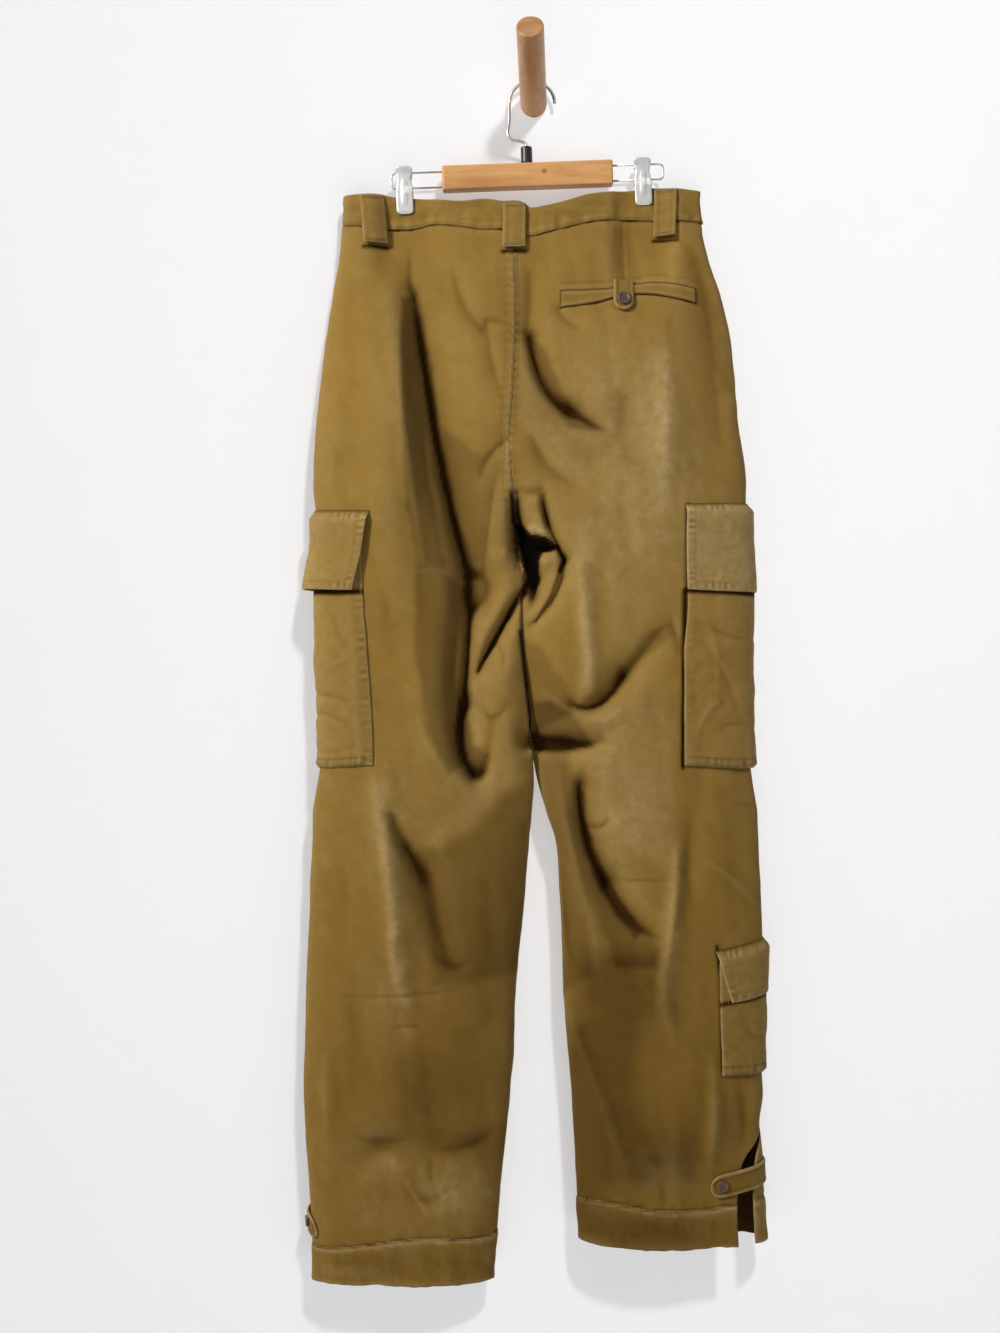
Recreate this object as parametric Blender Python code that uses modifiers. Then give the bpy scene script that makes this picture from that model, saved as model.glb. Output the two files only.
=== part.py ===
"""Cargo pants hung by the waist from a clip hanger on a wooden wall peg.

The wall is the plane Y = 0 and the part hangs in front of it, towards -Y, with its back
to the viewer.  The origin is the centre of the peg's flat wall face.  All tables and
sizes below are in millimetres, and the finished meshes are in metres.
"""
import math

import bmesh
import bpy
import numpy as np
from mathutils import Matrix, Vector

mm = 0.001

# cloth
clothThickness = 1.6
bandThickness = 3.2
seamGap = 0.3
touchGap = 0.4
flatShare = 0.42          # share of a half's width, from its inner edge, before it rounds off
crotchGap = 1.0           # extra gap on each side where the two halves turn to face each other

# hanger, hook and peg
hangerTilt = math.radians(2.1)
hangerCentre = (-6.5, -14.0, -79.4)
barSize = (172.5, 14.0, 25.0)
railReach = 137.5
railSpacing = 15.5
railRadius = 1.0
railCorner = 4.3
clipWidth = 17.0
clipAbove = 13.0
clipBelow = 35.0
clipPlate = 1.4
clipCentres = (-131.0, 109.6)
jawHalfGap = 5.1
clipSpread = 28.0         # half width of the cloth that a clip pulls flat
clothHalfGap = 2.0        # from the middle of the waist to each cloth layer inside a clip
hookRadius = 23.0
hookCentre = (-1.7, -2.8)
hookWire = 1.6
hookWallDistance = 6.0
collarRadius = 5.8
collarHeight = 16.6
pegRadius = 13.5
pegReach = 91.0
pegRise = 41.0
pegSwing = -5.3

# Cross-sections of the two halves, a row for each height.  leftOut and rightOut are the
# side seams, leftIn and rightIn the centre seam above the crotch and the inseams below it.
# deep is how far the back layer stands out from mid, rear how far the front layer lies
# behind it.  lean brings the left inseam forward and takes the right one back.  shut runs
# from 0, where the halves run on into each other, to 1, where each is a closed tube.
sectionColumns = ("z", "leftOut", "leftIn", "leftDeep", "rightOut", "rightIn", "rightDeep",
                  "rear", "mid", "lean", "shut", "round")
sectionRows = (
    (-80, -190.5, -19.6, 8, 166.5, -19.6, 8, 6.5, -14, 0, 0, 5.5),
    (-130, -192.5, -20, 12, 168.7, -20, 12, 8, -15, 0, 0, 4.5),
    (-165, -196.2, -20.7, 17, 174.8, -20.7, 17, 10, -17, 0, 0, 3.6),
    (-200, -201.8, -19.8, 21.5, 186.8, -19.8, 21.5, 13, -19, 0, 0, 3.0),
    (-240, -207.6, -19.6, 25.5, 195.8, -19.6, 25.5, 16, -22, 0, 0, 2.6),
    (-290, -213.6, -21.6, 29, 201.2, -21.6, 29, 19, -25, 0, 0, 2.3),
    (-340, -218.2, -24.4, 30, 205.3, -24.4, 30, 21, -28, 0, 0, 2.3),
    (-395, -220, -22.8, 30, 211.5, -22.8, 30, 22, -30, 0, 0, 2.3),
    (-430, -217, -18.5, 29, 211.5, -18.5, 29, 22, -32, 0, 0.3, 2.3),
    (-472, -216, -12.2, 27.5, 213, -12.2, 27.5, 21, -33, 0, 1, 2.3),
    (-510, -216, -14.5, 27, 214, -14.5, 27, 20.5, -33, 2, 1, 2.3),
    (-550, -215.5, -13.8, 26.5, 213.5, -13.8, 26.5, 20, -33, 4, 1, 2.3),
    (-600, -213.5, -8, 26, 213.5, -8, 26, 20, -33, 5, 1, 2.3),
    (-660, -212.5, -2, 25.5, 215, -2, 25.5, 19.5, -33, 5, 1, 2.3),
    (-690, -216, 0.5, 25, 217.5, 2.6, 25, 19.5, -33, 4, 1, 2.3),
    (-720, -220.5, -1.8, 25, 222.3, 11.5, 25, 19, -32.5, 3, 1, 2.3),
    (-748, -221.8, -4, 25, 223.3, 20.4, 25, 19, -32, 2, 1, 2.3),
    (-800, -224, -8, 24.5, 226, 24.2, 24.5, 18.5, -31, 1, 1, 2.3),
    (-850, -226, -13, 24, 227.5, 27, 24, 18.5, -30.5, 0, 1, 2.3),
    (-900, -228, -17, 23.5, 226.5, 27.6, 23.5, 18, -30, 0, 1, 2.3),
    (-970, -230, -20, 23, 226.5, 33.8, 24, 18, -30, 0, 1, 2.3),
    (-1000, -230.7, -23, 22.5, 228, 36.5, 25, 18, -30, 0, 1, 2.3),
    (-1030, -229.5, -26, 22, 224.5, 38, 26, 18, -30, 0, 1, 2.3),
    (-1060, -227.7, -28.8, 22, 227.5, 39.5, 27, 18, -30, 0, 1, 2.3),
    (-1100, -225, -32.6, 22, 229.5, 41, 29, 18, -29, 0, 1, 2.3),
    (-1145, -222.4, -36.6, 22, 232.8, 43, 31, 18, -28, 0, 1, 2.3),
    (-1200, -221.6, -41.5, 22, 233, 44.5, 32, 18, -28, 0, 1, 2.3),
)

# Folds: each runs through three points.  rise is its height, below 0 for a trough, and
# leftWide and rightWide are its half widths to either side (above and below where it runs
# across).  startShare and endShare are how much of the rise is left at its two ends.
foldColumns = ("x0", "z0", "x1", "z1", "x2", "z2", "rise", "leftWide", "rightWide",
               "startShare", "endShare")
backFolds = (
    (-124, -150, -106, -330, -65, -500, -15, 15, 40, 0.35, 0.9),     # deep fold below the dart
    (-152, -190, -150, -390, -122, -560, 7, 30, 24, 0.2, 0.2),       # its outer ridge
    (-65, -500, -76, -612, -58, -684, -13, 14, 30, 0.9, 0.3),        # J fold of the left thigh
    (-7, -488, -36, -545, -54, -582, -10, 9, 16, 0.8, 0.1),          # slit fold at the crotch
    (-14, -425, -13, -462, -6, -500, -7, 12, 14, 0.1, 0.6),          # hollow over the crotch
    (-5, -245, 23, -304, 67, -340, -5, 20, 24, 0.2, 0.2),            # right seat trough
    (123, -290, 124, -380, 128, -470, 5, 30, 30, 0.2, 0.2),          # right thigh ridge
    (103, -551, 74, -603, 42, -615, -7, 18, 14, 0.1, 0.4),           # curved thigh crease
    (2, -650, 30, -654, 62, -650, -9, 18, 10, 0.5, 0.2),             # fold across right thigh
    (44, -680, 60, -775, 122, -843, -9, 22, 16, 0.3, 0.1),           # diagonal knee trough
    (26, -715, 42, -790, 66, -868, 6, 14, 18, 0.3, 0.1),             # ridge beside it
    (137, -755, 132, -840, 122, -940, 4, 9, 12, 0.2, 0.2),           # thin calf ridge
    (-154, -680, -143, -780, -127, -915, 7, 22, 17, 0.2, 0.1),       # left shin ridge
    (-126, -750, -102, -805, -88, -880, -7, 14, 18, 0.2, 0.1),       # trough beside it
    (-178, -1075, -150, -1052, -120, -1062, -4, 12, 14, 0.2, 0.2),   # low crease, left
    (176, -985, 174, -1030, 170, -1060, 4, 10, 14, 0.2, 0.2),        # low ridge, right
)
frontFolds = (
    (-105, -180, -100, -330, -70, -480, -7, 24, 24, 0.3, 0.3),
    (80, -180, 84, -320, 60, -470, -7, 24, 24, 0.3, 0.3),
    (-70, -520, -92, -640, -110, -760, -6, 20, 24, 0.3, 0.2),
    (60, -520, 90, -620, 112, -740, -6, 22, 20, 0.3, 0.2),
    (-150, -800, -128, -900, -120, -1020, -6, 20, 18, 0.2, 0.2),
    (120, -790, 130, -900, 140, -1010, -6, 18, 20, 0.2, 0.2),
)

# Waistband edges, a row for each place along the waist.
waistColumns = ("x", "top", "seam")
waistRows = (
    (-191, -101, -132), (-159, -99, -134.5), (-140, -102, -135), (-122, -103, -134.5),
    (-102, -105, -131), (-76, -107, -133.5), (-50, -105, -137), (-34, -107, -137),
    (-10, -109, -142), (-3, -114, -144), (14, -111, -140), (33, -106.5, -135), (52, -101, -130),
    (79, -97, -126.5), (103, -94.5, -125.5), (119, -92, -126), (144, -93.5, -127.5),
    (168, -96, -129),
)
seamLevel = -133.0        # mean height of the waist seam
leftHem = -1187.0
rightHem = -1146.5

# Side vents above the hem: how far the back panels stop short of the side seam, and how
# far the front panels run on past it.
ventColumns = ("z", "leftBack", "rightBack", "leftFront", "rightFront")
ventRows = (
    (-1030, 0, 0, 0, 0), (-1045, 1, 10, 0, 5), (-1060, 2, 26, 0, 14), (-1092, 2.4, 37, 0, 20),
    (-1145, 2.4, 43, 0, 24), (-1200, 2.4, 43, 0, 24),
)

cadHeights = 300
cadShares = 160


def column(rows, columns, name):
    """One named column of a table, as an array."""
    return np.array([row[columns.index(name)] for row in rows], dtype=float)


def smoothCurve(at, places, values):
    """Smooth curve through a table's points (cubic Hermite, no overshoot at flats)."""
    places = np.asarray(places, dtype=float)
    values = np.asarray(values, dtype=float)
    steps = np.diff(places)
    slopes = np.diff(values) / steps
    tangents = np.zeros_like(values)
    tangents[0] = slopes[0]
    tangents[-1] = slopes[-1]
    same = slopes[:-1] * slopes[1:] > 0
    weighted = (slopes[:-1] * steps[1:] + slopes[1:] * steps[:-1]) / (steps[:-1] + steps[1:])
    tangents[1:-1] = np.where(same, weighted, 0.0)
    at = np.clip(np.asarray(at, dtype=float), places[0], places[-1])
    index = np.clip(np.searchsorted(places, at, side="right") - 1, 0, len(steps) - 1)
    step = steps[index]
    share = (at - places[index]) / step
    square = share * share
    cube = square * share
    return ((2 * cube - 3 * square + 1) * values[index]
            + (cube - 2 * square + share) * step * tangents[index]
            + (3 * square - 2 * cube) * values[index + 1]
            + (cube - square) * step * tangents[index + 1])


def tableAt(rows, columns, name, key, at):
    """A column of a table, read smoothly at the given values of its key column."""
    places = column(rows, columns, key)
    values = column(rows, columns, name)
    order = np.argsort(places)
    return smoothCurve(at, places[order], values[order])


def smoothStep(low, high, value):
    share = np.clip((value - low) / (high - low), 0.0, 1.0)
    return share * share * (3 - 2 * share)


def sectionAt(half, z):
    """Sizes of one half's section at the given heights."""
    read = {name: tableAt(sectionRows, sectionColumns, name, "z", z)
            for name in ("rear", "mid", "lean", "shut", "round")}
    for name in ("Out", "In", "Deep"):
        read[name] = tableAt(sectionRows, sectionColumns, half + name, "z", z)
    outward = -1.0 if half == "left" else 1.0
    read["In"] = read["In"] + outward * (seamGap / 2 + crotchGap * read["shut"])
    read["outward"] = outward
    return read


def outlineAt(section, turn):
    """Width share and depth share at a turn from 0 (inner edge) to 1 (side seam)."""
    angle = (turn - 0.5) * math.pi
    sine = np.sin(angle)
    width = np.where(angle < 0, flatShare * (1 + sine), flatShare + (1 - flatShare) * sine)
    open2 = (1 - section["shut"]) ** 2
    inner = np.sqrt(open2 + (1 - open2) * np.cos(angle) ** 2)
    power = section["round"]
    outer = np.clip(1 - np.clip(sine, 0, 1) ** power, 0, 1) ** (1 / power)
    return width, np.where(angle < 0, inner, outer)


def foldAt(folds, x, z):
    """Height of all folds at the given places."""
    total = np.zeros_like(x)
    for row in folds:
        fold = dict(zip(foldColumns, row))
        start = np.array((fold["x0"], fold["z0"]), dtype=float)
        middle = np.array((fold["x1"], fold["z1"]), dtype=float)
        end = np.array((fold["x2"], fold["z2"]), dtype=float)
        control = 2 * middle - (start + end) / 2
        steps = np.linspace(0, 1, 13)[:, None]
        path = start * (1 - steps) ** 2 + 2 * control * steps * (1 - steps) + end * steps ** 2
        best = np.full(x.shape, 1e9)
        side = np.zeros_like(x)
        along = np.zeros_like(x)
        for index in range(len(path) - 1):
            run = path[index + 1] - path[index]
            length2 = run @ run
            dx = x - path[index][0]
            dz = z - path[index][1]
            share = np.clip((dx * run[0] + dz * run[1]) / length2, 0, 1)
            gapX = dx - share * run[0]
            gapZ = dz - share * run[1]
            distance = np.hypot(gapX, gapZ)
            nearer = distance < best
            best = np.where(nearer, distance, best)
            side = np.where(nearer, dx * run[1] - dz * run[0], side)
            along = np.where(nearer, (index + share) / (len(path) - 1), along)
        wide = np.where(side > 0, fold["leftWide"], fold["rightWide"])
        ends = np.where(along < 0.5, fold["startShare"], fold["endShare"])
        swell = ends + (1 - ends) * np.sin(math.pi * along)
        total += fold["rise"] * swell * np.exp(-(best / wide) ** 2)
    return total


def clipHold(x, z):
    """1 where a clip pinches the waist flat, fading below and beside it."""
    hold = np.zeros_like(x)
    for centre in clipCentres:
        hold = np.maximum(hold, np.exp(-((x - centre) / clipSpread) ** 4))
    return hold * smoothStep(-215, -132, z)


def surfaceAt(half, turn, z):
    """Points of the cloth's middle surface.  turn runs from 0 at the inner edge, over the
    back layer to 1 at the side seam, and on over the front layer to 2."""
    section = sectionAt(half, z)
    back = turn <= 1
    width, depth = outlineAt(section, np.where(back, turn, 2 - turn))
    x = section["In"] + (section["Out"] - section["In"]) * width
    mask = smoothStep(0.12, 0.8, depth)
    backLift = section["Deep"] * depth + foldAt(backFolds, x, z) * mask
    frontLift = section["rear"] * depth + foldAt(frontFolds, x, z) * mask
    hold = clipHold(x, z)
    lift = np.where(back, backLift, frontLift)
    lift = lift * (1 - hold) + clothHalfGap * hold
    middle = section["mid"] + section["outward"] * section["lean"] * (1 - width)
    y = middle + np.where(back, -lift, lift)
    return np.stack((x, y, z), axis=-1)


def frameAt(half, turn, z):
    """Points and outward normals of the cloth's middle surface."""
    turn, z = np.broadcast_arrays(np.asarray(turn, float), np.asarray(z, float))
    stepTurn = 0.004
    stepZ = 0.8
    closed = sectionAt(half, z)["shut"] > 0.98
    low = np.where(closed, (turn - stepTurn) % 2, np.clip(turn - stepTurn, 0, 2))
    high = np.where(closed, (turn + stepTurn) % 2, np.clip(turn + stepTurn, 0, 2))
    across = surfaceAt(half, high, z) - surfaceAt(half, low, z)
    down = surfaceAt(half, turn, z - stepZ) - surfaceAt(half, turn, z + stepZ)
    normal = np.cross(across, down)
    if half == "right":
        normal = -normal
    normal /= np.linalg.norm(normal, axis=-1, keepdims=True)
    return surfaceAt(half, turn, z), normal


def makeTurnTable(half):
    """For each height, the turn at even steps of the section's real length."""
    heights = np.linspace(-1200, -80, cadHeights)
    turns = np.linspace(0, 1, 241)
    section = sectionAt(half, heights[:, None])
    width, depth = outlineAt(section, np.broadcast_to(turns, (cadHeights, len(turns))))
    x = section["In"] + (section["Out"] - section["In"]) * width
    tables = []
    for lift in (section["Deep"], section["rear"]):
        lengths = np.hypot(np.diff(x, axis=1), np.diff(lift * depth, axis=1))
        run = np.concatenate((np.zeros((cadHeights, 1)), np.cumsum(lengths, axis=1)), axis=1)
        shares = np.linspace(0, 1, cadShares)
        table = np.array([np.interp(shares, row / row[-1], turns) for row in run])
        tables.append((table, run[:, -1]))
    return heights, tables


turnTables = {half: makeTurnTable(half) for half in ("left", "right")}


def turnAt(half, fromSide, z):
    """The turn at a distance from the side seam: above 0 on the back, below 0 in front."""
    fromSide, z = np.broadcast_arrays(np.asarray(fromSide, float), np.asarray(z, float))
    heights, tables = turnTables[half]
    row = np.clip((z - heights[0]) / (heights[1] - heights[0]), 0, cadHeights - 1.001)
    low = row.astype(int)
    part = row - low
    result = []
    for table, lengths in tables:
        length = lengths[low] * (1 - part) + lengths[low + 1] * part
        share = np.clip(1 - np.abs(fromSide) / length, 0, 1) * (cadShares - 1)
        left = np.minimum(share.astype(int), cadShares - 2)
        rest = share - left
        upper = table[low, left] * (1 - rest) + table[low, left + 1] * rest
        lower = table[low + 1, left] * (1 - rest) + table[low + 1, left + 1] * rest
        result.append(upper * (1 - part) + lower * part)
    return np.where(fromSide >= 0, result[0], 2 - result[1])


def layerLength(half, z, layer):
    """Real length of one layer's section, layer 0 for the back and 1 for the front."""
    heights, tables = turnTables[half]
    return np.interp(z, heights, tables[layer][1])


def turnAtX(half, x, z):
    """The turn on the back layer at a place across."""
    section = sectionAt(half, np.asarray(z, float))
    width = np.clip((x - section["In"]) / (section["Out"] - section["In"]), 0, 1)
    inner = np.arcsin(np.clip(width / flatShare - 1, -1, 1))
    outer = np.arcsin(np.clip((width - flatShare) / (1 - flatShare), 0, 1))
    return np.where(width < flatShare, inner, outer) / math.pi + 0.5


# ---------------------------------------------------------------- scene and helpers

for item in list(bpy.data.objects):
    bpy.data.objects.remove(item, do_unlink=True)
partCollection = bpy.data.collections.new("cargo_pants")
bpy.context.scene.collection.children.link(partCollection)


def makeMaterial(name, colour, roughness, metallic=0.0):
    material = bpy.data.materials.new(name)
    material.use_nodes = True
    shader = material.node_tree.nodes["Principled BSDF"]
    shader.inputs["Base Color"].default_value = (*colour, 1.0)
    shader.inputs["Roughness"].default_value = roughness
    shader.inputs["Metallic"].default_value = metallic
    return material


twillColour = (0.235, 0.165, 0.060)
darkTwillColour = (0.190, 0.130, 0.046)
buttonColour = (0.095, 0.052, 0.026)
woodColour = (0.560, 0.270, 0.085)
pegColour = (0.430, 0.215, 0.085)
steelColour = (0.70, 0.70, 0.70)
collarColour = (0.015, 0.015, 0.016)


def addObject(name, mesh, colour, roughness=0.85, metallic=0.0):
    item = bpy.data.objects.new(name, mesh)
    partCollection.objects.link(item)
    mesh.materials.clear()
    mesh.materials.append(makeMaterial(name + "_material", colour, roughness, metallic))
    return item


def meshFromShape(name, shape, smooth=True):
    bmesh.ops.recalc_face_normals(shape, faces=shape.faces)
    if shape.calc_volume(signed=True) < 0:
        bmesh.ops.reverse_faces(shape, faces=shape.faces)
    mesh = bpy.data.meshes.new(name)
    shape.to_mesh(mesh)
    shape.free()
    if smooth:
        mesh.shade_smooth()
        mesh.set_sharp_from_angle(angle=math.radians(40))
    return mesh


def clothSolid(name, points, normals, low, high, colour=twillColour):
    """A closed wall between two offsets of a grid of surface points."""
    low = np.broadcast_to(np.asarray(low, float), points.shape[:2])[..., None]
    high = np.broadcast_to(np.asarray(high, float), points.shape[:2])[..., None]
    shape = bmesh.new()
    inner = [[shape.verts.new(p * mm) for p in row] for row in points + normals * low]
    outer = [[shape.verts.new(p * mm) for p in row] for row in points + normals * high]
    rows = len(inner)
    columns = len(inner[0])

    def quad(first, second, third, fourth):
        """Two triangles, split from the first corner to the third on both sides alike."""
        shape.faces.new((first, second, third))
        shape.faces.new((first, third, fourth))

    for r in range(rows - 1):
        for c in range(columns - 1):
            quad(outer[r][c], outer[r][c + 1], outer[r + 1][c + 1], outer[r + 1][c])
            quad(inner[r][c], inner[r + 1][c], inner[r + 1][c + 1], inner[r][c + 1])
    border = [(0, c) for c in range(columns)]
    border += [(r, columns - 1) for r in range(1, rows)]
    border += [(rows - 1, c) for c in range(columns - 2, -1, -1)]
    border += [(r, 0) for r in range(rows - 2, 0, -1)]
    for (r0, c0), (r1, c1) in zip(border, border[1:] + border[:1]):
        quad(outer[r0][c0], inner[r0][c0], inner[r1][c1], outer[r1][c1])
    return addObject(name, meshFromShape(name, shape), colour)


def waistTop(x):
    return tableAt(waistRows, waistColumns, "top", "x", x)


def waistSeam(x):
    return tableAt(waistRows, waistColumns, "seam", "x", x)


def hemHeight(half):
    return leftHem if half == "left" else rightHem


# ---------------------------------------------------------------- trouser panels

backColumns = 18
frontColumns = 13
edgeCrowding = 0.76       # how much closer together the columns are at a panel's edges
# Heights of the back panels' rows, closer together where the folds are deep.
backRowHeights = (-147, -165, -195, -225, -255, -285, -315, -342, -368, -392, -413, -430, -445, -459,
                  -472, -488, -508, -530, -553, -575, -597, -620, -640, -655, -672, -692, -716,
                  -742, -770, -800, -830, -862, -900, -940, -985, -1025, -1048, -1070, -1095,
                  -1122, -1155)
frontRowHeights = (-170, -215, -265, -315, -365, -400, -428, -450, -472, -510, -560, -610, -640, -672,
                   -716, -780, -850, -920, -985, -1030, -1050, -1075, -1110, -1150)


def crowdedShares(count):
    """Shares from 0 to 1 that crowd together at both ends."""
    even = np.linspace(0, 1, count)
    return even * (1 - edgeCrowding) + edgeCrowding * (0.5 - 0.5 * np.cos(math.pi * even))


def panelGrid(half, layer, columns, heights):
    """Turns and heights of a leg panel from waist seam to hem, seam to seam."""
    hem = hemHeight(half)
    heights = [height for height in heights if height > hem + 12]
    turns = np.zeros((len(heights) + 2, columns))
    places = np.zeros_like(turns)
    shares = crowdedShares(columns)
    for r in range(len(heights) + 2):
        if r == 0:
            z = np.full(columns, seamLevel)
        elif r <= len(heights):
            z = np.full(columns, float(heights[r - 1]))
        else:
            z = np.full(columns, hem)
        length = layerLength(half, z, layer)
        shut = tableAt(sectionRows, sectionColumns, "shut", "z", z)
        sideName = half + ("Back" if layer == 0 else "Front")
        vent = float(tableAt(ventRows, ventColumns, sideName, "z", z[0]))
        edge = seamGap / 2 + (vent if layer == 0 else -vent)
        distance = edge + (length - edge - shut * seamGap / 2) * (1 - shares)
        turn = turnAt(half, distance if layer == 0 else -distance, z)
        if r == 0:
            z = waistSeam(surfaceAt(half, turn, z)[:, 0]) - seamGap / 2
        turns[r] = turn
        places[r] = z
    return turns, places


panelRows = (
    ("back_left", "left", 0, backColumns, backRowHeights),
    ("back_right", "right", 0, backColumns, backRowHeights),
    ("front_left", "left", 1, frontColumns, frontRowHeights),
    ("front_right", "right", 1, frontColumns, frontRowHeights),
)
for name, half, layer, columns, heights in panelRows:
    turns, places = panelGrid(half, layer, columns, heights)
    points, normals = frameAt(half, turns, places)
    clothSolid(name, points, normals, -clothThickness / 2, clothThickness / 2)


# ---------------------------------------------------------------- waistband

bandRows = 4

def bandTurns(half, layer):
    """The turns of a panel's columns at the waist seam, from the centre to the side."""
    length = layerLength(half, seamLevel, layer)
    shares = crowdedShares(backColumns if layer == 0 else frontColumns)
    distance = seamGap / 2 + (length - seamGap / 2) * (1 - shares)
    return turnAt(half, distance if layer == 0 else -distance, seamLevel)


def bandGrid(half, turns):
    """Points and normals of a stretch of waistband, from its top edge to its seam."""
    x = surfaceAt(half, turns, np.full(turns.shape, seamLevel))[:, 0]
    shares = np.linspace(0, 1, bandRows)[:, None]
    places = waistTop(x) * (1 - shares) + (waistSeam(x) + seamGap / 2) * shares
    return frameAt(half, np.broadcast_to(turns, places.shape), places)


leftPoints, leftNormals = bandGrid("left", bandTurns("left", 0)[:0:-1])
rightPoints, rightNormals = bandGrid("right", bandTurns("right", 0))
clothSolid("waistband_back", np.concatenate((leftPoints, rightPoints), axis=1),
           np.concatenate((leftNormals, rightNormals), axis=1),
           -bandThickness / 2, bandThickness / 2)
for half in ("left", "right"):
    points, normals = bandGrid(half, bandTurns(half, 1))
    clothSolid("waistband_front_" + half, points, normals, -bandThickness / 2, bandThickness / 2)


# ---------------------------------------------------------------- belt loops

loopWall = 1.8
# side of the cloth (0 back, 1 front), centre at the top and bottom, and the two ends
loopColumns = ("name", "half", "layer", "topX", "bottomX", "topZ", "bottomZ", "width")
loopRows = (
    ("belt_loop_left", "left", 0, -164.0, -159.0, -100.5, -152.0, 25.0),
    ("belt_loop_centre", "left", 0, -20.0, -20.0, -110.0, -158.0, 25.0),
    ("belt_loop_right", "right", 0, 132.5, 132.0, -94.0, -144.0, 24.5),
    ("belt_loop_front_left", "left", 1, -88.0, -88.0, -107.5, -150.0, 25.0),
    ("belt_loop_front_right", "right", 1, 66.0, 66.0, -100.5, -144.0, 25.0),
)
# how far the loop's inner side stands off the cloth's middle, down its length
loopStand = ((0.0, 2.6), (0.2, 3.2), (0.5, 3.4), (0.8, 3.5), (1.0, 3.3))


def beltLoop(row):
    loop = dict(zip(loopColumns, row))
    shares = np.linspace(0, 1, 9)[:, None]
    across = np.linspace(-0.5, 0.5, 4)[None, :] * loop["width"]
    x = loop["topX"] * (1 - shares) + loop["bottomX"] * shares + across
    z = np.broadcast_to(loop["topZ"] * (1 - shares) + loop["bottomZ"] * shares, x.shape)
    stand = np.interp(shares, [s for s, _ in loopStand], [d for _, d in loopStand])
    parts = []
    for half in ("left", "right"):
        turn = turnAtX(half, x, z)
        if loop["layer"] == 1:
            turn = 2 - turn
        parts.append(frameAt(half, turn, z))
    seam = sectionAt("left", z)["In"]
    onLeft = (x < seam)[..., None]
    points = np.where(onLeft, parts[0][0], parts[1][0])
    normals = np.where(onLeft, parts[0][1], parts[1][1])
    clothSolid(loop["name"], points, normals, stand, stand + loopWall, darkTwillColour)


for row in loopRows:
    beltLoop(row)


# ---------------------------------------------------------------- fly and waist button

flyWidth = 38.0
flyBottom = -330.0
onCloth = clothThickness / 2 + touchGap


def overlay(name, half, x, z, layer, low, wall, colour=twillColour):
    """A flat piece that lies on one layer of the cloth, from a grid of places."""
    turn = turnAtX(half, x, z)
    points, normals = frameAt(half, turn if layer == 0 else 2 - turn, z)
    return clothSolid(name, points, normals, low, low + wall, colour)


flyRows = np.array((-147.0, -180, -215, -250, -285, -310, flyBottom))[:, None]
flyEdge = sectionAt("right", flyRows)["In"]
flyShare = np.array((0.0, 0.35, 0.7, 1.0))[None, :]
flyTaper = flyWidth * (1 - 0.55 * smoothStep(-270, flyBottom, flyRows))
overlay("fly_placket", "right", flyEdge + 0.5 + flyTaper * flyShare,
        np.broadcast_to(flyRows, (7, 4)), 1, onCloth, clothThickness)


def button(name, half, turn, z, stand, radius, thickness):
    """A turned button that lies flat above the cloth."""
    point, normal = frameAt(half, np.array([[turn]]), np.array([[z]]))
    direction = Vector(normal[0, 0])
    centre = Vector(point[0, 0]) + direction * (stand + thickness / 2)
    bpy.ops.mesh.primitive_cylinder_add(vertices=20, radius=radius * mm, depth=thickness * mm)
    item = bpy.context.object
    item.name = name
    item.data.name = name
    bpy.context.collection.objects.unlink(item)
    partCollection.objects.link(item)
    item.location = centre * mm
    item.rotation_euler = direction.to_track_quat("Z", "Y").to_euler()
    rounding = item.modifiers.new("edge", "BEVEL")
    rounding.width = thickness * 0.28 * mm
    rounding.segments = 2
    rounding.limit_method = "ANGLE"
    item.data.materials.append(makeMaterial(name + "_material", buttonColour, 0.45))
    item.data.shade_smooth()
    return item


waistButtonTurn = 2 - float(turnAtX("right", -5.0, -122.0))
button("waist_button", "right", waistButtonTurn, -122.0, bandThickness / 2 + touchGap, 8.0, 2.4)


# ---------------------------------------------------------------- back welt pocket

weltWall = 1.2
weltColumns = ("x", "top", "bottom")
weltRows = (
    (25.3, -201, -219.5), (43, -200.5, -217.5), (62, -199.8, -214.4), (75, -199, -211),
    (88, -196.5, -207.5), (103, -194, -205.8), (120, -192.3, -206.5), (143, -194.1, -210.6),
    (161, -197.7, -214),
)
weltX = np.linspace(25.3, 161.0, 13)[None, :]
weltShare = np.array((0.0, 0.5, 1.0))[:, None]
weltTop = tableAt(weltRows, weltColumns, "top", "x", weltX)
weltBottom = tableAt(weltRows, weltColumns, "bottom", "x", weltX)
overlay("back_pocket_welt", "right", np.broadcast_to(weltX, (3, 13)),
        weltTop * (1 - weltShare) + weltBottom * weltShare, 0, onCloth, weltWall, darkTwillColour)

tabStand = onCloth + weltWall + touchGap
tabWall = 1.4
tabCentre = 88.2
tabWidth = 21.0
tabTop = -190.0
tabTip = -222.5
# share of the length and of the width: a strap with a round tip
tabOutline = ((0.0, 1.0), (0.2, 1.0), (0.42, 1.0), (0.66, 1.0), (0.8, 0.93), (0.92, 0.72), (1.0, 0.36))
tabLong = np.array([share for share, _ in tabOutline])[:, None]
tabWide = np.array([share for _, share in tabOutline])[:, None]
tabX = tabCentre + np.linspace(-0.5, 0.5, 5)[None, :] * tabWidth * tabWide
tabZ = np.broadcast_to(tabTop + (tabTip - tabTop) * tabLong, tabX.shape)
overlay("pocket_tab", "right", tabX, tabZ, 0, tabStand, tabWall, darkTwillColour)
button("pocket_button", "right", float(turnAtX("right", 88.9, -211.4)), -211.4,
       tabStand + tabWall + touchGap, 6.8, 2.4)


# ---------------------------------------------------------------- cargo and calf pockets

pocketWall = 1.6
pocketBulge = 3.2
pocketEdge = 5.0
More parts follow.
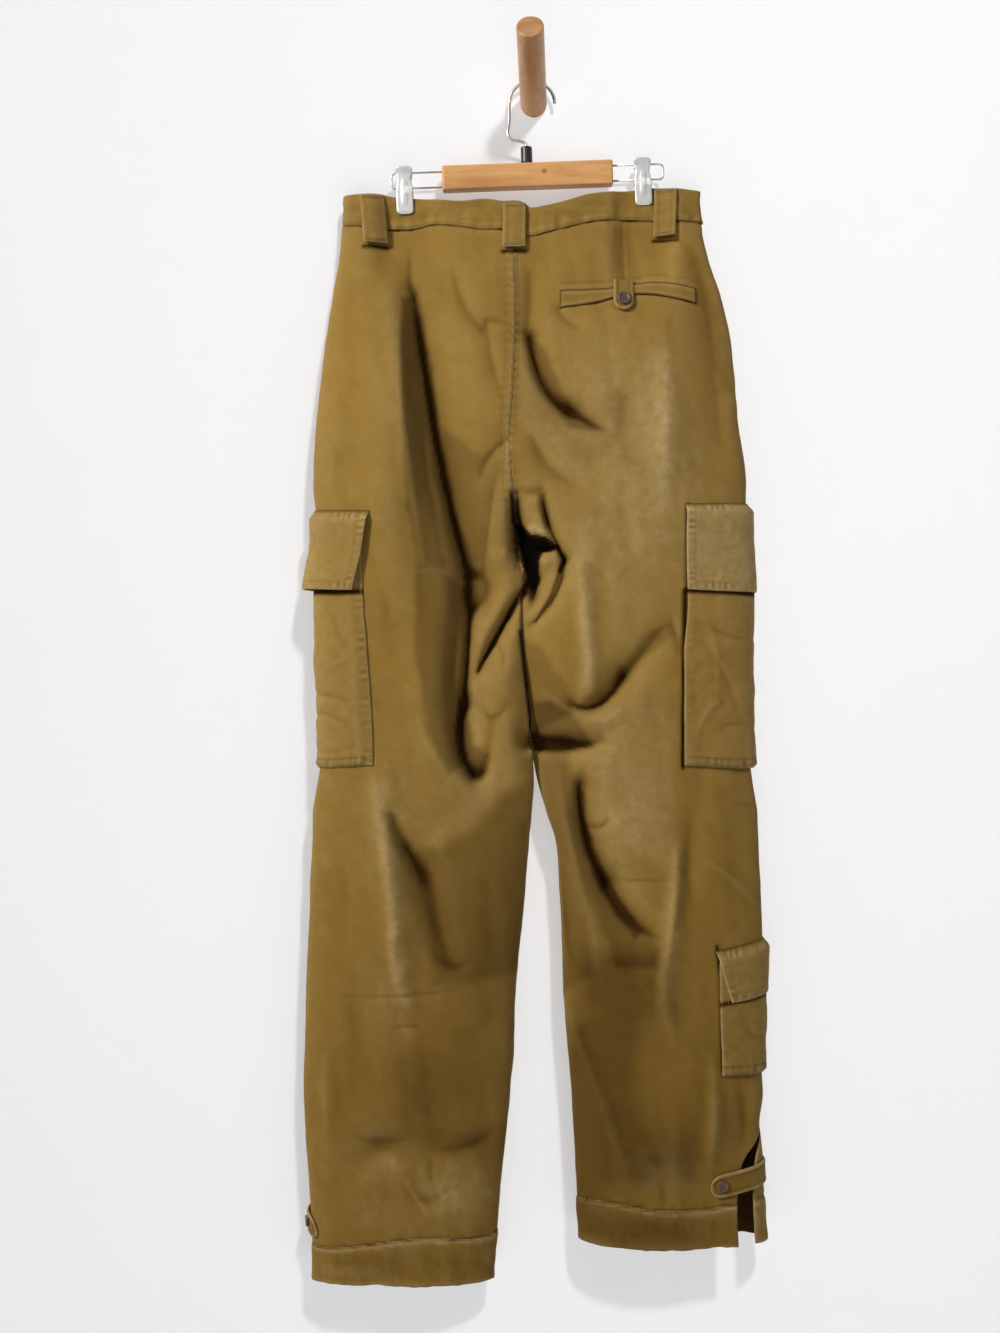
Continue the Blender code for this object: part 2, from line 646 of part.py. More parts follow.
# Corners of each pocket and flap as distances from the side seam (above 0 on the back) and
# heights.  The edges between them are straight, and drop lowers the middle of the bottom.
pocketColumns = ("name", "half", "backTop", "backBottom", "frontTop", "frontBottom",
                 "topBack", "topFront", "bottomBack", "bottomFront")
pocketRows = (
    ("cargo_pocket_left", "left", 56, 64, -96, -96, -436, -432, -673, -686),
    ("cargo_pocket_right", "right", 73, 78, -90, -90, -430, -428, -673, -684),
    ("calf_pocket_right", "right", 54, 51, -56, -56, -866, -862, -980, -982),
)
flapRows = (
    ("cargo_flap_left", "left", 68, 49, -100, -100, -421, -414, -501, -494),
    ("cargo_flap_right", "right", 74.5, 75.5, -94, -94, -414, -408, -500, -503),
    ("calf_flap_right", "right", 58, 41, -60, -60, -855, -832, -908, -886),
)
flapAttach = 9.0
leftFlare = 8.0
# shares of the way from the side seam to a pocket's back or front edge, close together
# where the cloth turns round the side
pocketShares = (0.0, 0.035, 0.07, 0.11, 0.155, 0.21, 0.3, 0.45, 0.68, 0.93, 1.0)
pocketDown = (0.0, 0.035, 0.2, 0.4, 0.6, 0.8, 0.965, 1.0)
flapDown = (0.0, 0.1, 0.2, 0.4, 0.7, 1.0)


def pocketGrid(row, shares):
    """Distances from the side seam and heights of a pocket's grid."""
    pocket = dict(zip(pocketColumns, row))
    down = np.array(shares)[:, None]
    back = pocket["backTop"] * (1 - down) + pocket["backBottom"] * down
    front = pocket["frontTop"] * (1 - down) + pocket["frontBottom"] * down
    toBack = np.array(pocketShares)[::-1][None, :]
    toFront = np.array(pocketShares)[1:][None, :]
    distance = np.concatenate((back * toBack, front * toFront), axis=1)
    across = (back - distance) / (back - front)
    top = pocket["topBack"] * (1 - across) + pocket["topFront"] * across
    bottom = pocket["bottomBack"] * (1 - across) + pocket["bottomFront"] * across
    return pocket, distance, top * (1 - down) + bottom * down, down


def edgeRamp(share, size):
    """0 at both ends of a span and 1 once past the edge width."""
    return smoothStep(0, pocketEdge, np.minimum(share, 1 - share) * size)


def pocketLift(row, distance, z):
    """How far a pocket's inner side stands off the panel at the given places."""
    pocket = dict(zip(pocketColumns, row))
    height = pocket["topBack"] - pocket["bottomBack"]
    down = np.clip((pocket["topBack"] - z) / height, 0, 1)
    back = pocket["backTop"] * (1 - down) + pocket["backBottom"] * down
    front = pocket["frontTop"]
    across = np.clip((back - distance) / (back - front), 0, 1)
    below = smoothStep(0, pocketEdge, height * (1 - down))
    return onCloth + pocketBulge * edgeRamp(across, back - front) * below


for row in pocketRows:
    pocket, distance, z, down = pocketGrid(row, pocketDown)
    points, normals = frameAt(pocket["half"], turnAt(pocket["half"], distance, z), z)
    low = pocketLift(row, distance, z)
    clothSolid(pocket["name"], points, normals, low, low + pocketWall, darkTwillColour)

for row in flapRows:
    pocket, distance, z, down = pocketGrid(row, flapDown)
    points, normals = frameAt(pocket["half"], turnAt(pocket["half"], distance, z), z)
    cover = onCloth + pocketBulge + pocketWall + touchGap
    length = (pocket["topBack"] - pocket["bottomBack"]) * down
    low = onCloth + (cover - onCloth) * smoothStep(0, flapAttach, length)
    if pocket["half"] == "left":
        low = low + leftFlare * smoothStep(0.3, 1.0, down) * np.exp(-((distance + 5) / 45.0) ** 2)
    low = np.broadcast_to(low, z.shape)
    clothSolid(pocket["name"], points, normals, low, low + pocketWall)


# ---------------------------------------------------------------- ankle tabs

strapWall = 1.8
strapStand = clothThickness / 2 + touchGap + 0.1
strapColumns = ("half", "tip", "end", "tipZ", "sideZ", "endZ", "width", "buttonAt")
strapRows = (
    ("right", 66.0, -32.0, -1089.0, -1077.0, -1068.0, 24.0, 54.0),
    ("left", 14.0, -84.0, -1138.0, -1128.0, -1112.0, 24.0, 2.0),
)
# share of the tip's radius along, and of the half width across
strapTip = ((0.0, 0.30), (0.1, 0.50), (0.26, 0.72), (0.5, 0.9), (0.75, 0.98), (1.0, 1.0))


def ankleTab(row):
    strap = dict(zip(strapColumns, row))
    radius = strap["width"] / 2
    tip = [(strap["tip"] - share * radius, wide) for share, wide in strapTip]
    straight = strap["tip"] - radius - strap["end"]
    rest = [(strap["tip"] - radius - straight * share, 1.0)
            for share in np.linspace(0, 1, round(straight / 3.2))[1:]]
    distance = np.array([d for d, _ in tip + rest])[:, None]
    wide = np.array([w for _, w in tip + rest])[:, None]
    knots = (strap["end"], 0.0, strap["tip"])
    levels = (strap["endZ"], strap["sideZ"], strap["tipZ"])
    z = smoothCurve(distance, knots, levels) + np.linspace(1, -1, 3)[None, :] * radius * wide
    distance = np.broadcast_to(distance, z.shape)
    points, normals = frameAt(strap["half"], turnAt(strap["half"], distance, z), z)
    clothSolid("ankle_tab_" + strap["half"], points, normals, strapStand, strapStand + strapWall,
               darkTwillColour)
    at = strap["buttonAt"]
    level = float(smoothCurve(at, knots, levels))
    button("ankle_button_" + strap["half"], strap["half"], float(turnAt(strap["half"], at, level)),
           level, strapStand + strapWall + touchGap, 5.8, 2.2)


for row in strapRows:
    ankleTab(row)


# ---------------------------------------------------------------- hanger, hook and peg

def hangerPoint(along, depth, up):
    """A place in the hanger's own tilted frame, as metres in the part's frame."""
    x = hangerCentre[0] + along * math.cos(hangerTilt) - up * math.sin(hangerTilt)
    z = hangerCentre[2] + along * math.sin(hangerTilt) + up * math.cos(hangerTilt)
    return Vector((x, hangerCentre[1] + depth, z)) * mm


def hangerBar():
    bpy.ops.mesh.primitive_cube_add(size=1)
    item = bpy.context.object
    item.name = "hanger_bar"
    item.data.name = "hanger_bar"
    bpy.context.collection.objects.unlink(item)
    partCollection.objects.link(item)
    item.data.transform(Matrix.Diagonal((*[size * mm for size in barSize], 1)))
    item.location = hangerPoint(0, 0, 0)
    item.rotation_euler = (0, -hangerTilt, 0)
    rounding = item.modifiers.new("edges", "BEVEL")
    rounding.width = 2.0 * mm
    rounding.segments = 3
    item.data.materials.append(makeMaterial("hanger_bar_material", woodColour, 0.5))
    item.data.shade_smooth()
    return item


def wire(name, path, radius, colour, roughness, metallic):
    """A round wire along a list of points, as a mesh with closed ends."""
    data = bpy.data.curves.new(name, "CURVE")
    data.dimensions = "3D"
    data.bevel_depth = radius
    data.bevel_resolution = 2
    data.use_fill_caps = True
    spline = data.splines.new("POLY")
    spline.points.add(len(path) - 1)
    for point, place in zip(spline.points, path):
        point.co = (*place, 1.0)
    item = bpy.data.objects.new(name, data)
    partCollection.objects.link(item)
    data.materials.append(makeMaterial(name + "_material", colour, roughness, metallic))
    return item


def rail(side):
    """One wire loop that runs out of the bar's end and back into it."""
    start = side * (barSize[0] / 2 + seamGap)
    half = railSpacing / 2
    across = railReach - railCorner
    turnsOut = [math.pi / 2 * i / 4 for i in range(5)]
    upper = [(side * (across + railCorner * math.sin(a)), 0, half - railCorner * (1 - math.cos(a)))
             for a in turnsOut]
    lower = [(x, y, -z) for x, y, z in reversed(upper)]
    places = [(start, 0, half)] + upper + lower + [(start, 0, -half)]
    name = "rail_left" if side < 0 else "rail_right"
    return wire(name, [hangerPoint(*place) for place in places], railRadius * mm, steelColour, 0.25, 1.0)


# half profile of a clip: height above the rails, and the inner face of its plate
clipProfile = ((-clipBelow, jawHalfGap), (-15.0, jawHalfGap), (-6.0, 3.4), (6.0, 3.4), (clipAbove, 6.6))


def clip(name, centreX):
    """Two pressed plates joined between the rail wires by their spring."""
    along = (centreX - hangerCentre[0]) / math.cos(hangerTilt)
    inner = [(height, gap) for height, gap in clipProfile]
    bridge = railSpacing / 2 - railRadius - seamGap
    right = []
    for (h0, g0), (h1, g1) in zip(inner, inner[1:]):
        right.append((h0, g0))
        if h0 < -bridge < h1:
            right.append((-bridge, g0 + (g1 - g0) * (-bridge - h0) / (h1 - h0)))
        if h0 < bridge < h1:
            right.append((bridge, g0 + (g1 - g0) * (bridge - h0) / (h1 - h0)))
    right.append(inner[-1])
    plateIn = sorted(set(right))
    heights = [height for height, _ in plateIn]
    gaps = [gap for _, gap in plateIn]
    shape = bmesh.new()
    half = clipWidth / 2

    def at(side, u, v):
        return shape.verts.new(hangerPoint(along + side * half, u, v))

    rings = {}
    for side in (-1, 1):
        rings[side] = []
        for height, gap in zip(heights, gaps):
            rings[side].append([at(side, -gap - clipPlate, height), at(side, -gap, height),
                                at(side, gap, height), at(side, gap + clipPlate, height)])
    last = len(heights) - 1
    low = heights.index(-bridge)
    high = heights.index(bridge)
    for i in range(last):
        a0, a1 = rings[-1][i], rings[-1][i + 1]
        b0, b1 = rings[1][i], rings[1][i + 1]
        spans = [(0, 1), (2, 3)]
        if low <= i < high:
            spans.append((1, 2))
        for p, q in spans:
            shape.faces.new((a0[p], a0[q], a1[q], a1[p]))
            shape.faces.new((b0[q], b0[p], b1[p], b1[q]))
        for p in (0, 3):
            shape.faces.new((a0[p], a1[p], b1[p], b0[p]))
        if not low <= i < high:
            for p in (1, 2):
                shape.faces.new((a0[p], a1[p], b1[p], b0[p]))
    for i in (0, last):
        for p, q in ((0, 1), (2, 3)):
            shape.faces.new((rings[-1][i][p], rings[-1][i][q], rings[1][i][q], rings[1][i][p]))
    for i in (low, high):
        shape.faces.new((rings[-1][i][1], rings[-1][i][2], rings[1][i][2], rings[1][i][1]))
    return addObject(name, meshFromShape(name, shape, smooth=False), steelColour, 0.3, 1.0)


def hook():
    """Wire from the collar up beside the peg and over it."""
    foot = hangerPoint(0, 0, barSize[2] / 2 + seamGap + collarHeight + seamGap) / mm
    stem = ((foot.x, foot.z), (foot.x - 0.2, foot.z + 2.5), (foot.x - 2.6, foot.z + 5.0),
            (foot.x - 8.0, foot.z + 6.6), (foot.x - 13.5, foot.z + 7.8), (foot.x - 17.4, foot.z + 10.8),
            (foot.x - 18.9, foot.z + 15.5), (-24.9, -22.0), (-24.9, -12.0))
    places = list(stem)
    steps = 18
    for i in range(steps + 1):
        angle = math.pi * (1 - i / steps)
        places.append((hookCentre[0] + hookRadius * math.cos(angle),
                       hookCentre[1] + hookRadius * math.sin(angle)))
    path = []
    for x, z in places:
        share = min(max((z - foot.z) / (-foot.z), 0.0), 1.0)
        depth = foot.y + (-hookWallDistance - foot.y) * share
        path.append(Vector((x, depth, z)) * mm)
    return wire("hook", path, hookWire * mm, steelColour, 0.25, 1.0)


def collar():
    bpy.ops.mesh.primitive_cylinder_add(vertices=20, radius=collarRadius * mm, depth=collarHeight * mm)
    item = bpy.context.object
    item.name = "hook_collar"
    item.data.name = "hook_collar"
    bpy.context.collection.objects.unlink(item)
    partCollection.objects.link(item)
    item.location = hangerPoint(0, 0, barSize[2] / 2 + seamGap + collarHeight / 2)
    item.rotation_euler = (0, -hangerTilt, 0)
    rounding = item.modifiers.new("edge", "BEVEL")
    rounding.width = 0.9 * mm
    rounding.segments = 2
    rounding.limit_method = "ANGLE"
    item.data.materials.append(makeMaterial("hook_collar_material", collarColour, 0.4))
    item.data.shade_smooth()
    return item


def wallPeg():
    """A dowel cut flat at the wall, tilted up so that the hook can't slide off."""
    axis = Vector((pegSwing, -pegReach, pegRise))
    length = axis.length
    direction = axis.normalized()
    behind = 20.0
    shape = bmesh.new()
    bmesh.ops.create_cone(shape, cap_ends=True, segments=36, radius1=pegRadius, radius2=pegRadius,
                          depth=length + behind)
    rounded = [edge for edge in shape.edges
               if all(vert.co.z > 0 for vert in edge.verts) and abs(edge.verts[0].co.z - edge.verts[1].co.z) < 1e-6]
    bmesh.ops.bevel(shape, geom=rounded, offset=1.2, segments=2, profile=0.5, affect="EDGES")
    turn = direction.to_track_quat("Z", "Y").to_matrix().to_4x4()
    centre = direction * ((length - behind) / 2)
    shape.transform(Matrix.Scale(mm, 4) @ Matrix.Translation(centre) @ turn)
    cut = bmesh.ops.bisect_plane(shape, geom=shape.verts[:] + shape.edges[:] + shape.faces[:],
                                 plane_co=(0, 0, 0), plane_no=(0, 1, 0), clear_outer=True)
    edges = [piece for piece in cut["geom_cut"] if isinstance(piece, bmesh.types.BMEdge)]
    bmesh.ops.contextual_create(shape, geom=edges)
    return addObject("wall_peg", meshFromShape("wall_peg", shape), pegColour, 0.55)


hangerBar()
rail(-1)
rail(1)
clip("clip_left", clipCentres[0])
clip("clip_right", clipCentres[1])
hook()
collar()
wallPeg()
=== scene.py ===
import math

import bmesh
import bpy
import numpy as np
from mathutils import Matrix, Vector
from mathutils.bvhtree import BVHTree


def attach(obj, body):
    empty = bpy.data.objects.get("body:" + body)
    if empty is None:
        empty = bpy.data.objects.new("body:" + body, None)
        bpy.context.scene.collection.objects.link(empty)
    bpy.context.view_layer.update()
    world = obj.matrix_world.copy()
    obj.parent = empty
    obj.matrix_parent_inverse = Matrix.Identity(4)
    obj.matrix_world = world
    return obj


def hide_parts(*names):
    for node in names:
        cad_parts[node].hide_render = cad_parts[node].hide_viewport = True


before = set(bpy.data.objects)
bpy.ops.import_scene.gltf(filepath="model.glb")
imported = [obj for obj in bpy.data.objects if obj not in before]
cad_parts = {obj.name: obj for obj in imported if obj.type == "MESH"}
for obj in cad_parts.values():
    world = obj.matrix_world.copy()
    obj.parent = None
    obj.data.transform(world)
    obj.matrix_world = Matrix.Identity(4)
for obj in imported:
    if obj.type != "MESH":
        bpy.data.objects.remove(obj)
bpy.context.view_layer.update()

mm = 0.001
# The wall is the plane Y = 0 and the pants hang in front of it, back to the viewer.
# Tables are in millimetres.  Finished meshes are in metres.

form = {
    "flatShare": 0.42,        # share of a half's width before it rounds off to the side
    "seamGap": 0.3,
    "crotchGap": 1.0,
    "crotchLap": -1.3, "lapEnds": (-705, -640),
    "seamLevel": -133.0,      # mean height of the waist seam
    "leftHem": -1187.0,
    "rightHem": -1146.5,
    "clipCentres": (-131.0, 109.6),
    "clipSpread": 28.0, "clipReach": (-215, -132),
    "clipHalfGap": 2.0,       # cloth layer to the waist's middle inside a clip
    "cloth": 1.2,             # thickness of the twill
    "standOff": 0.35,         # space under a piece that lies on the cloth
    "foldGain": 1.15, "creaseGain": 1.5, "frontCreaseGain": 1.2,
    "foldFrom": (0.12, 0.8), "creaseFrom": (0.02, 0.42),     # how far from the side seam they fade in
    "waveLost": 0.7, "waveEnds": (-170, -135),
    "backFloor": (1.2, 0.42), "frontFloor": (1.0, 0.2),      # least room to the middle plane
    "stepTurn": 0.005, "stepDown": 1.0, "closed": 0.98,
    "turnHeights": 225, "turnTurns": 241, "turnShares": 201, "turnLow": -1200, "turnHigh": -80,
    "foldSteps": 13, "foldReach": 4.2, "far": 1e9,
}
grain = 1.0

# A row for each height: side seams, centre seam or inseams, and how deep each layer stands
# out from the middle plane.  shut is 0 where the halves join and 1 where each is a tube.
sectionColumns = ("z", "leftOut", "leftIn", "leftDeep", "rightOut", "rightIn", "rightDeep",
                  "rear", "mid", "lean", "shut", "round")
sectionRows = (
    (-80, -190.5, -19.6, 8, 166.5, -19.6, 8, 6.5, -14, 0, 0, 5.5),
    (-130, -192.5, -20, 12, 168.7, -20, 12, 8, -15, 0, 0, 4.5),
    (-165, -196.2, -20.7, 17, 174.8, -20.7, 17, 10, -17, 0, 0, 3.6),
    (-200, -201.8, -19.8, 21.5, 186.8, -19.8, 21.5, 13, -19, 0, 0, 3.0),
    (-240, -207.6, -19.6, 25.5, 195.8, -19.6, 25.5, 16, -22, 0, 0, 2.6),
    (-290, -213.6, -21.6, 29, 201.2, -21.6, 29, 19, -25, 0, 0, 2.3),
    (-340, -218.2, -24.4, 30, 205.3, -24.4, 30, 21, -28, 0, 0, 2.3),
    (-395, -220, -22.8, 30, 211.5, -22.8, 30, 22, -30, 0, 0, 2.3),
    (-430, -217, -18.5, 29, 211.5, -18.5, 29, 22, -32, 0, 0.3, 2.3),
    (-472, -216, -12.2, 27.5, 213, -12.2, 27.5, 21, -33, 0, 1, 2.3),
    (-510, -216, -14.5, 27, 214, -14.5, 27, 20.5, -33, 2, 1, 2.3),
    (-550, -215.5, -13.8, 26.5, 213.5, -13.8, 26.5, 20, -33, 4, 1, 2.3),
    (-600, -213.5, -8, 26, 213.5, -8, 26, 20, -33, 5, 1, 2.3),
    (-660, -212.5, -2, 25.5, 215, -2, 25.5, 19.5, -33, 5, 1, 2.3),
    (-690, -216, 0.5, 25, 217.5, 2.6, 25, 19.5, -33, 4, 1, 2.3),
    (-720, -220.5, -1.8, 25, 222.3, 11.5, 25, 19, -32.5, 3, 1, 2.3),
    (-748, -221.8, -4, 25, 223.3, 20.4, 25, 19, -32, 2, 1, 2.3),
    (-800, -224, -8, 24.5, 226, 24.2, 24.5, 18.5, -31, 1, 1, 2.3),
    (-850, -226, -13, 24, 227.5, 27, 24, 18.5, -30.5, 0, 1, 2.3),
    (-900, -228, -17, 23.5, 226.5, 27.6, 23.5, 18, -30, 0, 1, 2.3),
    (-970, -230, -20, 23, 226.5, 33.8, 24, 18, -30, 0, 1, 2.3),
    (-1000, -230.7, -23, 22.5, 228, 36.5, 25, 18, -30, 0, 1, 2.3),
    (-1030, -229.5, -26, 22, 224.5, 38, 26, 18, -30, 0, 1, 2.3),
    (-1060, -227.7, -28.8, 22, 227.5, 39.5, 27, 18, -30, 0, 1, 2.3),
    (-1100, -225, -32.6, 22, 229.5, 41, 29, 18, -29, 0, 1, 2.3),
    (-1145, -222.4, -36.6, 22, 232.8, 43, 31, 18, -28, 0, 1, 2.3),
    (-1200, -221.6, -41.5, 22, 233, 44.5, 32, 18, -28, 0, 1, 2.3),
)

# Folds: each runs through three points.  rise is below 0 for a trough, leftWide and
# rightWide are its half widths, the shares are what is left at its ends, and sharp runs
# from about 1 for a pressed crease to 2 for a soft wave.
foldColumns = ("x0", "z0", "x1", "z1", "x2", "z2", "rise", "leftWide", "rightWide",
               "startShare", "endShare", "sharp")
backFolds = (
    (-124, -150, -106, -330, -65, -500, -15, 15, 40, 0.35, 0.9, 2),   # deep fold below the dart
    (-152, -190, -150, -390, -122, -560, 7, 30, 24, 0.2, 0.2, 2),   # its outer ridge
    (-65, -500, -76, -612, -58, -684, -13, 14, 30, 0.9, 0.3, 2),   # J fold of the left thigh
    (-7, -488, -36, -545, -54, -582, -10, 9, 16, 0.8, 0.1, 2),   # slit fold at the crotch
    (-14, -425, -13, -462, -6, -500, -7, 12, 14, 0.1, 0.6, 2),   # hollow over the crotch
    (-5, -245, 23, -304, 67, -340, -5, 20, 24, 0.2, 0.2, 2),   # right seat trough
    (123, -290, 124, -380, 128, -470, 5, 30, 30, 0.2, 0.2, 2),   # right thigh ridge
    (103, -551, 74, -603, 42, -615, -7, 18, 14, 0.1, 0.4, 2),   # curved thigh crease
    (2, -650, 30, -654, 62, -650, -9, 18, 10, 0.5, 0.2, 2),   # fold across right thigh
    (44, -680, 60, -775, 122, -843, -9, 22, 16, 0.3, 0.1, 2),   # diagonal knee trough
    (26, -715, 42, -790, 66, -868, 6, 14, 18, 0.3, 0.1, 2),   # ridge beside it
    (137, -755, 132, -840, 122, -940, 4, 9, 12, 0.2, 0.2, 2),   # thin calf ridge
    (-154, -680, -143, -780, -127, -915, 7, 22, 17, 0.2, 0.1, 2),   # left shin ridge
    (-126, -750, -102, -805, -88, -880, -7, 14, 18, 0.2, 0.1, 2),   # trough beside it
    (-178, -1075, -150, -1052, -120, -1062, -4, 12, 14, 0.2, 0.2, 2),   # low crease, left
    (176, -985, 174, -1030, 170, -1060, 4, 10, 14, 0.2, 0.2, 2),   # low ridge, right
)
# the smaller creases of the back, as they lie
backCreases = (
    # left half
    (-124, -145, -125, -173, -123, -206, -2.2, 2.5, 5, 0.5, 1, 1.2),   # dart crease
    (-121, -204, -104, -325, -66, -495, -11, 3.2, 19, 0.35, 0.9, 1.2),   # deep fold's valley
    (-132, -214, -130, -313, -109, -470, 3, 14, 5, 0.3, 0.5, 1.3),   # its crisp edge
    (-81, -177, -71, -214, -52, -241, -4, 10, 7, 0.2, 0.9, 1.2),   # drag line below the band
    (-48, -234, -42, -273, -31, -313, -2.2, 8, 5, 0.8, 0.2, 1.2),
    (-47, -233, -41, -232, -35, -233, -1.5, 4, 4, 0.8, 0.8, 1.5),
    (-29, -353, -44, -367, -56, -392, -4.5, 20, 5, 0.9, 0.2, 1.2),   # seat hollow, left
    (-40, -392, -46, -441, -53, -500, -1.8, 6, 4, 0.3, 0.6, 1.1),
    (-65, -498, -67, -559, -72, -613, -9, 3, 9, 1, 1, 1.2),   # long thigh fold
    (-72, -613, -76, -652, -62, -684, -9, 3.4, 12, 1, 1, 1.25),
    (-62, -684, -52, -684, -44, -662, -7, 3.5, 9, 1, 0.2, 1.25),   # its hooked end
    (-7, -493, -22, -516, -56, -580, -12, 2.6, 4, 1, 0.3, 1.2),   # crotch slit
    (-39, -552, -32, -561, -31, -579, -1.5, 3, 3, 0.3, 0.3, 1.2),
    (-61, -588, -59, -598, -57, -608, 1.6, 3, 3, 0.4, 0.4, 1.4),
    (-50, -616, -41, -626, -27, -613, -1.8, 6, 5, 0.5, 0.5, 1.3),
    (-42, -628, -44, -648, -48, -667, -2, 7, 7, 0.6, 0.2, 1.5),
    (-115, -623, -103, -652, -80, -679, 2.2, 12, 5, 0.3, 0.3, 1.2),
    (-29, -456, -21, -461, -12, -472, -2, 3, 3, 0.4, 0.6, 1.2),
    (-34, -472, -29, -462, -22, -456, 1.5, 5, 5, 0.4, 0.4, 1.5),
    (-158, -687, -146, -756, -138, -840, 3.2, 9, 10, 0.3, 0.9, 1.4),   # shin ridge
    (-138, -840, -137, -869, -128, -904, 3, 9, 10, 0.9, 0.2, 1.4),
    (-142, -717, -136, -734, -128, -753, -3, 5, 8, 0.3, 0.8, 1.3),
    (-126, -756, -120, -768, -111, -783, -4, 4, 14, 0.9, 0.6, 1.2),   # knee hollow
    (-111, -783, -103, -820, -84, -870, -3.5, 12, 14, 0.8, 0.5, 1.5),
    (-101, -854, -85, -872, -64, -866, -2, 5, 9, 0.3, 0.3, 1.3),
    (-192, -900, -133, -900, -71, -893, -0.9, 1.6, 1.6, 0.3, 0.3, 1.3),   # fold line across the shin
    (-142, -932, -129, -930, -112, -930, -0.8, 1.5, 1.5, 0.3, 0.3, 1.3),
    (-192, -766, -187, -805, -189, -864, -1.6, 12, 12, 0.2, 0.3, 1.6),
    (-206, -953, -208, -1002, -204, -1066, 2.6, 10, 12, 0.3, 0.3, 1.5),
    (-172, -1039, -152, -1047, -127, -1041, -2, 9, 7, 0.3, 0.3, 1.5),
    (-91, -1051, -68, -1051, -44, -1039, -2.6, 8, 8, 0.3, 0.3, 1.4),
    (-121, -1090, -108, -1103, -90, -1096, -2, 9, 8, 0.3, 0.3, 1.5),
    (-126, -1083, -117, -1100, -104, -1119, 1.3, 2.5, 4, 0.5, 0.5, 1.2),
    (-102, -1061, -103, -1076, -100, -1090, -1.2, 4, 4, 0.3, 0.3, 1.4),
    (-202, -254, -198, -342, -204, -411, 2.4, 16, 14, 0.2, 0.2, 1.5),   # outer thigh ridge
    (-180, -431, -147, -510, -138, -608, -1.6, 14, 14, 0.2, 0.2, 1.6),
    # right half
    (-7, -177, -4, -204, -8, -244, -3.5, 9, 12, 0.2, 0.9, 1.4),   # hollow beside the centre seam
    (-5, -249, 8, -298, 36, -325, -7.5, 4, 14, 0.8, 1, 1.3),   # seat trough, right
    (36, -325, 52, -333, 71, -346, -6, 9, 13, 1, 0.1, 1.4),
    (-4, -344, 10, -374, 36, -396, -3.5, 9, 7, 0.2, 0.5, 1.3),
    (79, -301, 86, -323, 76, -362, -2.5, 18, 14, 0.3, 0.2, 1.6),
    (127, -214, 130, -313, 126, -392, 2.6, 14, 12, 0.1, 0.3, 1.35),   # back thigh ridge
    (156, -165, 174, -234, 184, -382, -4, 14, 12, 0.3, 0.3, 1.6),   # hollow down the hip
    (25, -220, 31, -232, 46, -242, -2.5, 6, 5, 0.8, 0.2, 1.3),   # drag below the welt
    (-21, -406, -15, -452, -3, -485, -20, 5, 9, 0.2, 1, 1.5),   # crotch pit
    (-3, -485, 0, -500, -2, -514, -12, 5, 5, 1, 0.3, 1.3),
    (-8, -438, 10, -444, 22, -459, 5, 4, 6, 0.3, 0.8, 1.2),   # roll over the pit
    (-3, -459, 8, -460, 18, -459, -9, 5, 3, 0.8, 0.6, 1.2),
    (10, -465, 11, -472, 10, -480, 4, 5, 5, 0.8, 0.5, 1.5),
    (8, -408, 14, -436, 30, -470, -9, 3, 6, 0.3, 1, 1.25),
    (30, -470, 21, -505, -3, -533, -5.5, 3, 4, 1, 0.5, 1.15),
    (-9, -403, -1, -404, 6, -402, -3, 5, 5, 0.5, 0.8, 1.3),
    (-1, -656, 30, -659, 61, -652, -12, 2.8, 20, 0.9, 0.6, 1.2),   # fold across the thigh
    (5, -598, 21, -609, 40, -624, 1.6, 6, 4, 0.3, 0.6, 1.2),
    (45, -470, 50, -529, 56, -598, 4, 9, 9, 0.3, 0.8, 1.5),   # inner thigh ridge
    (39, -614, 64, -615, 89, -586, -5, 4, 7, 1, 0.8, 1.2),   # curved thigh crease
    (89, -586, 110, -557, 134, -529, -4, 11, 10, 0.8, 0.2, 1.4),
    (45, -622, 64, -627, 80, -621, 3, 8, 6, 0.4, 0.4, 1.6),
    (134, -529, 140, -549, 143, -569, -1.4, 4, 4, 0.4, 0.2, 1.4),
    (44, -694, 48, -736, 70, -790, -8.5, 4, 13, 0.8, 1, 1.25),   # diagonal knee fold
    (70, -790, 92, -827, 121, -842, -7.5, 5, 12, 1, 0.2, 1.3),
    (58, -734, 66, -734, 72, -726, -2.5, 3, 4, 0.8, 0.3, 1.2),
    (25, -692, 38, -756, 61, -849, 3, 7, 6, 0.2, 0.3, 1.4),
    (26, -776, 31, -830, 39, -869, -3.5, 9, 9, 0.3, 0.4, 1.5),
    (31, -911, 46, -955, 70, -1014, 3, 9, 6, 0.3, 0.6, 1.35),   # shin ridge, right
    (70, -1014, 82, -1049, 96, -1090, 2.4, 9, 7, 0.6, 0.2, 1.4),
    (140, -756, 138, -805, 127, -884, 3, 4.5, 5, 0.5, 0.2, 1.15),   # thin calf ridge
    (127, -884, 131, -923, 141, -951, 1.8, 8, 10, 0.3, 0.3, 1.5),
    (153, -721, 151, -770, 154, -810, -2.6, 10, 9, 0.3, 0.3, 1.5),
    (197, -710, 206, -712, 218, -716, -0.9, 2, 2, 0.3, 0.6, 1.3),
    (171, -768, 195, -785, 219, -810, 1.2, 3, 3, 0.3, 0.3, 1.3),
    (82, -787, 104, -786, 134, -785, -0.8, 1.6, 1.6, 0.3, 0.3, 1.3),
    (174, -964, 178, -1017, 173, -1066, 2.6, 6, 8, 0.3, 0.3, 1.3),   # ridge below the calf pocket
    (104, -1061, 118, -1049, 139, -1053, 1, 7, 7, 0.3, 0.3, 1.6),
    (123, -1086, 127, -1100, 125, -1115, -1, 4, 5, 0.3, 0.3, 1.4),
    (202, -987, 208, -1022, 204, -1051, -2.4, 8, 7, 0.3, 0.3, 1.5),
)
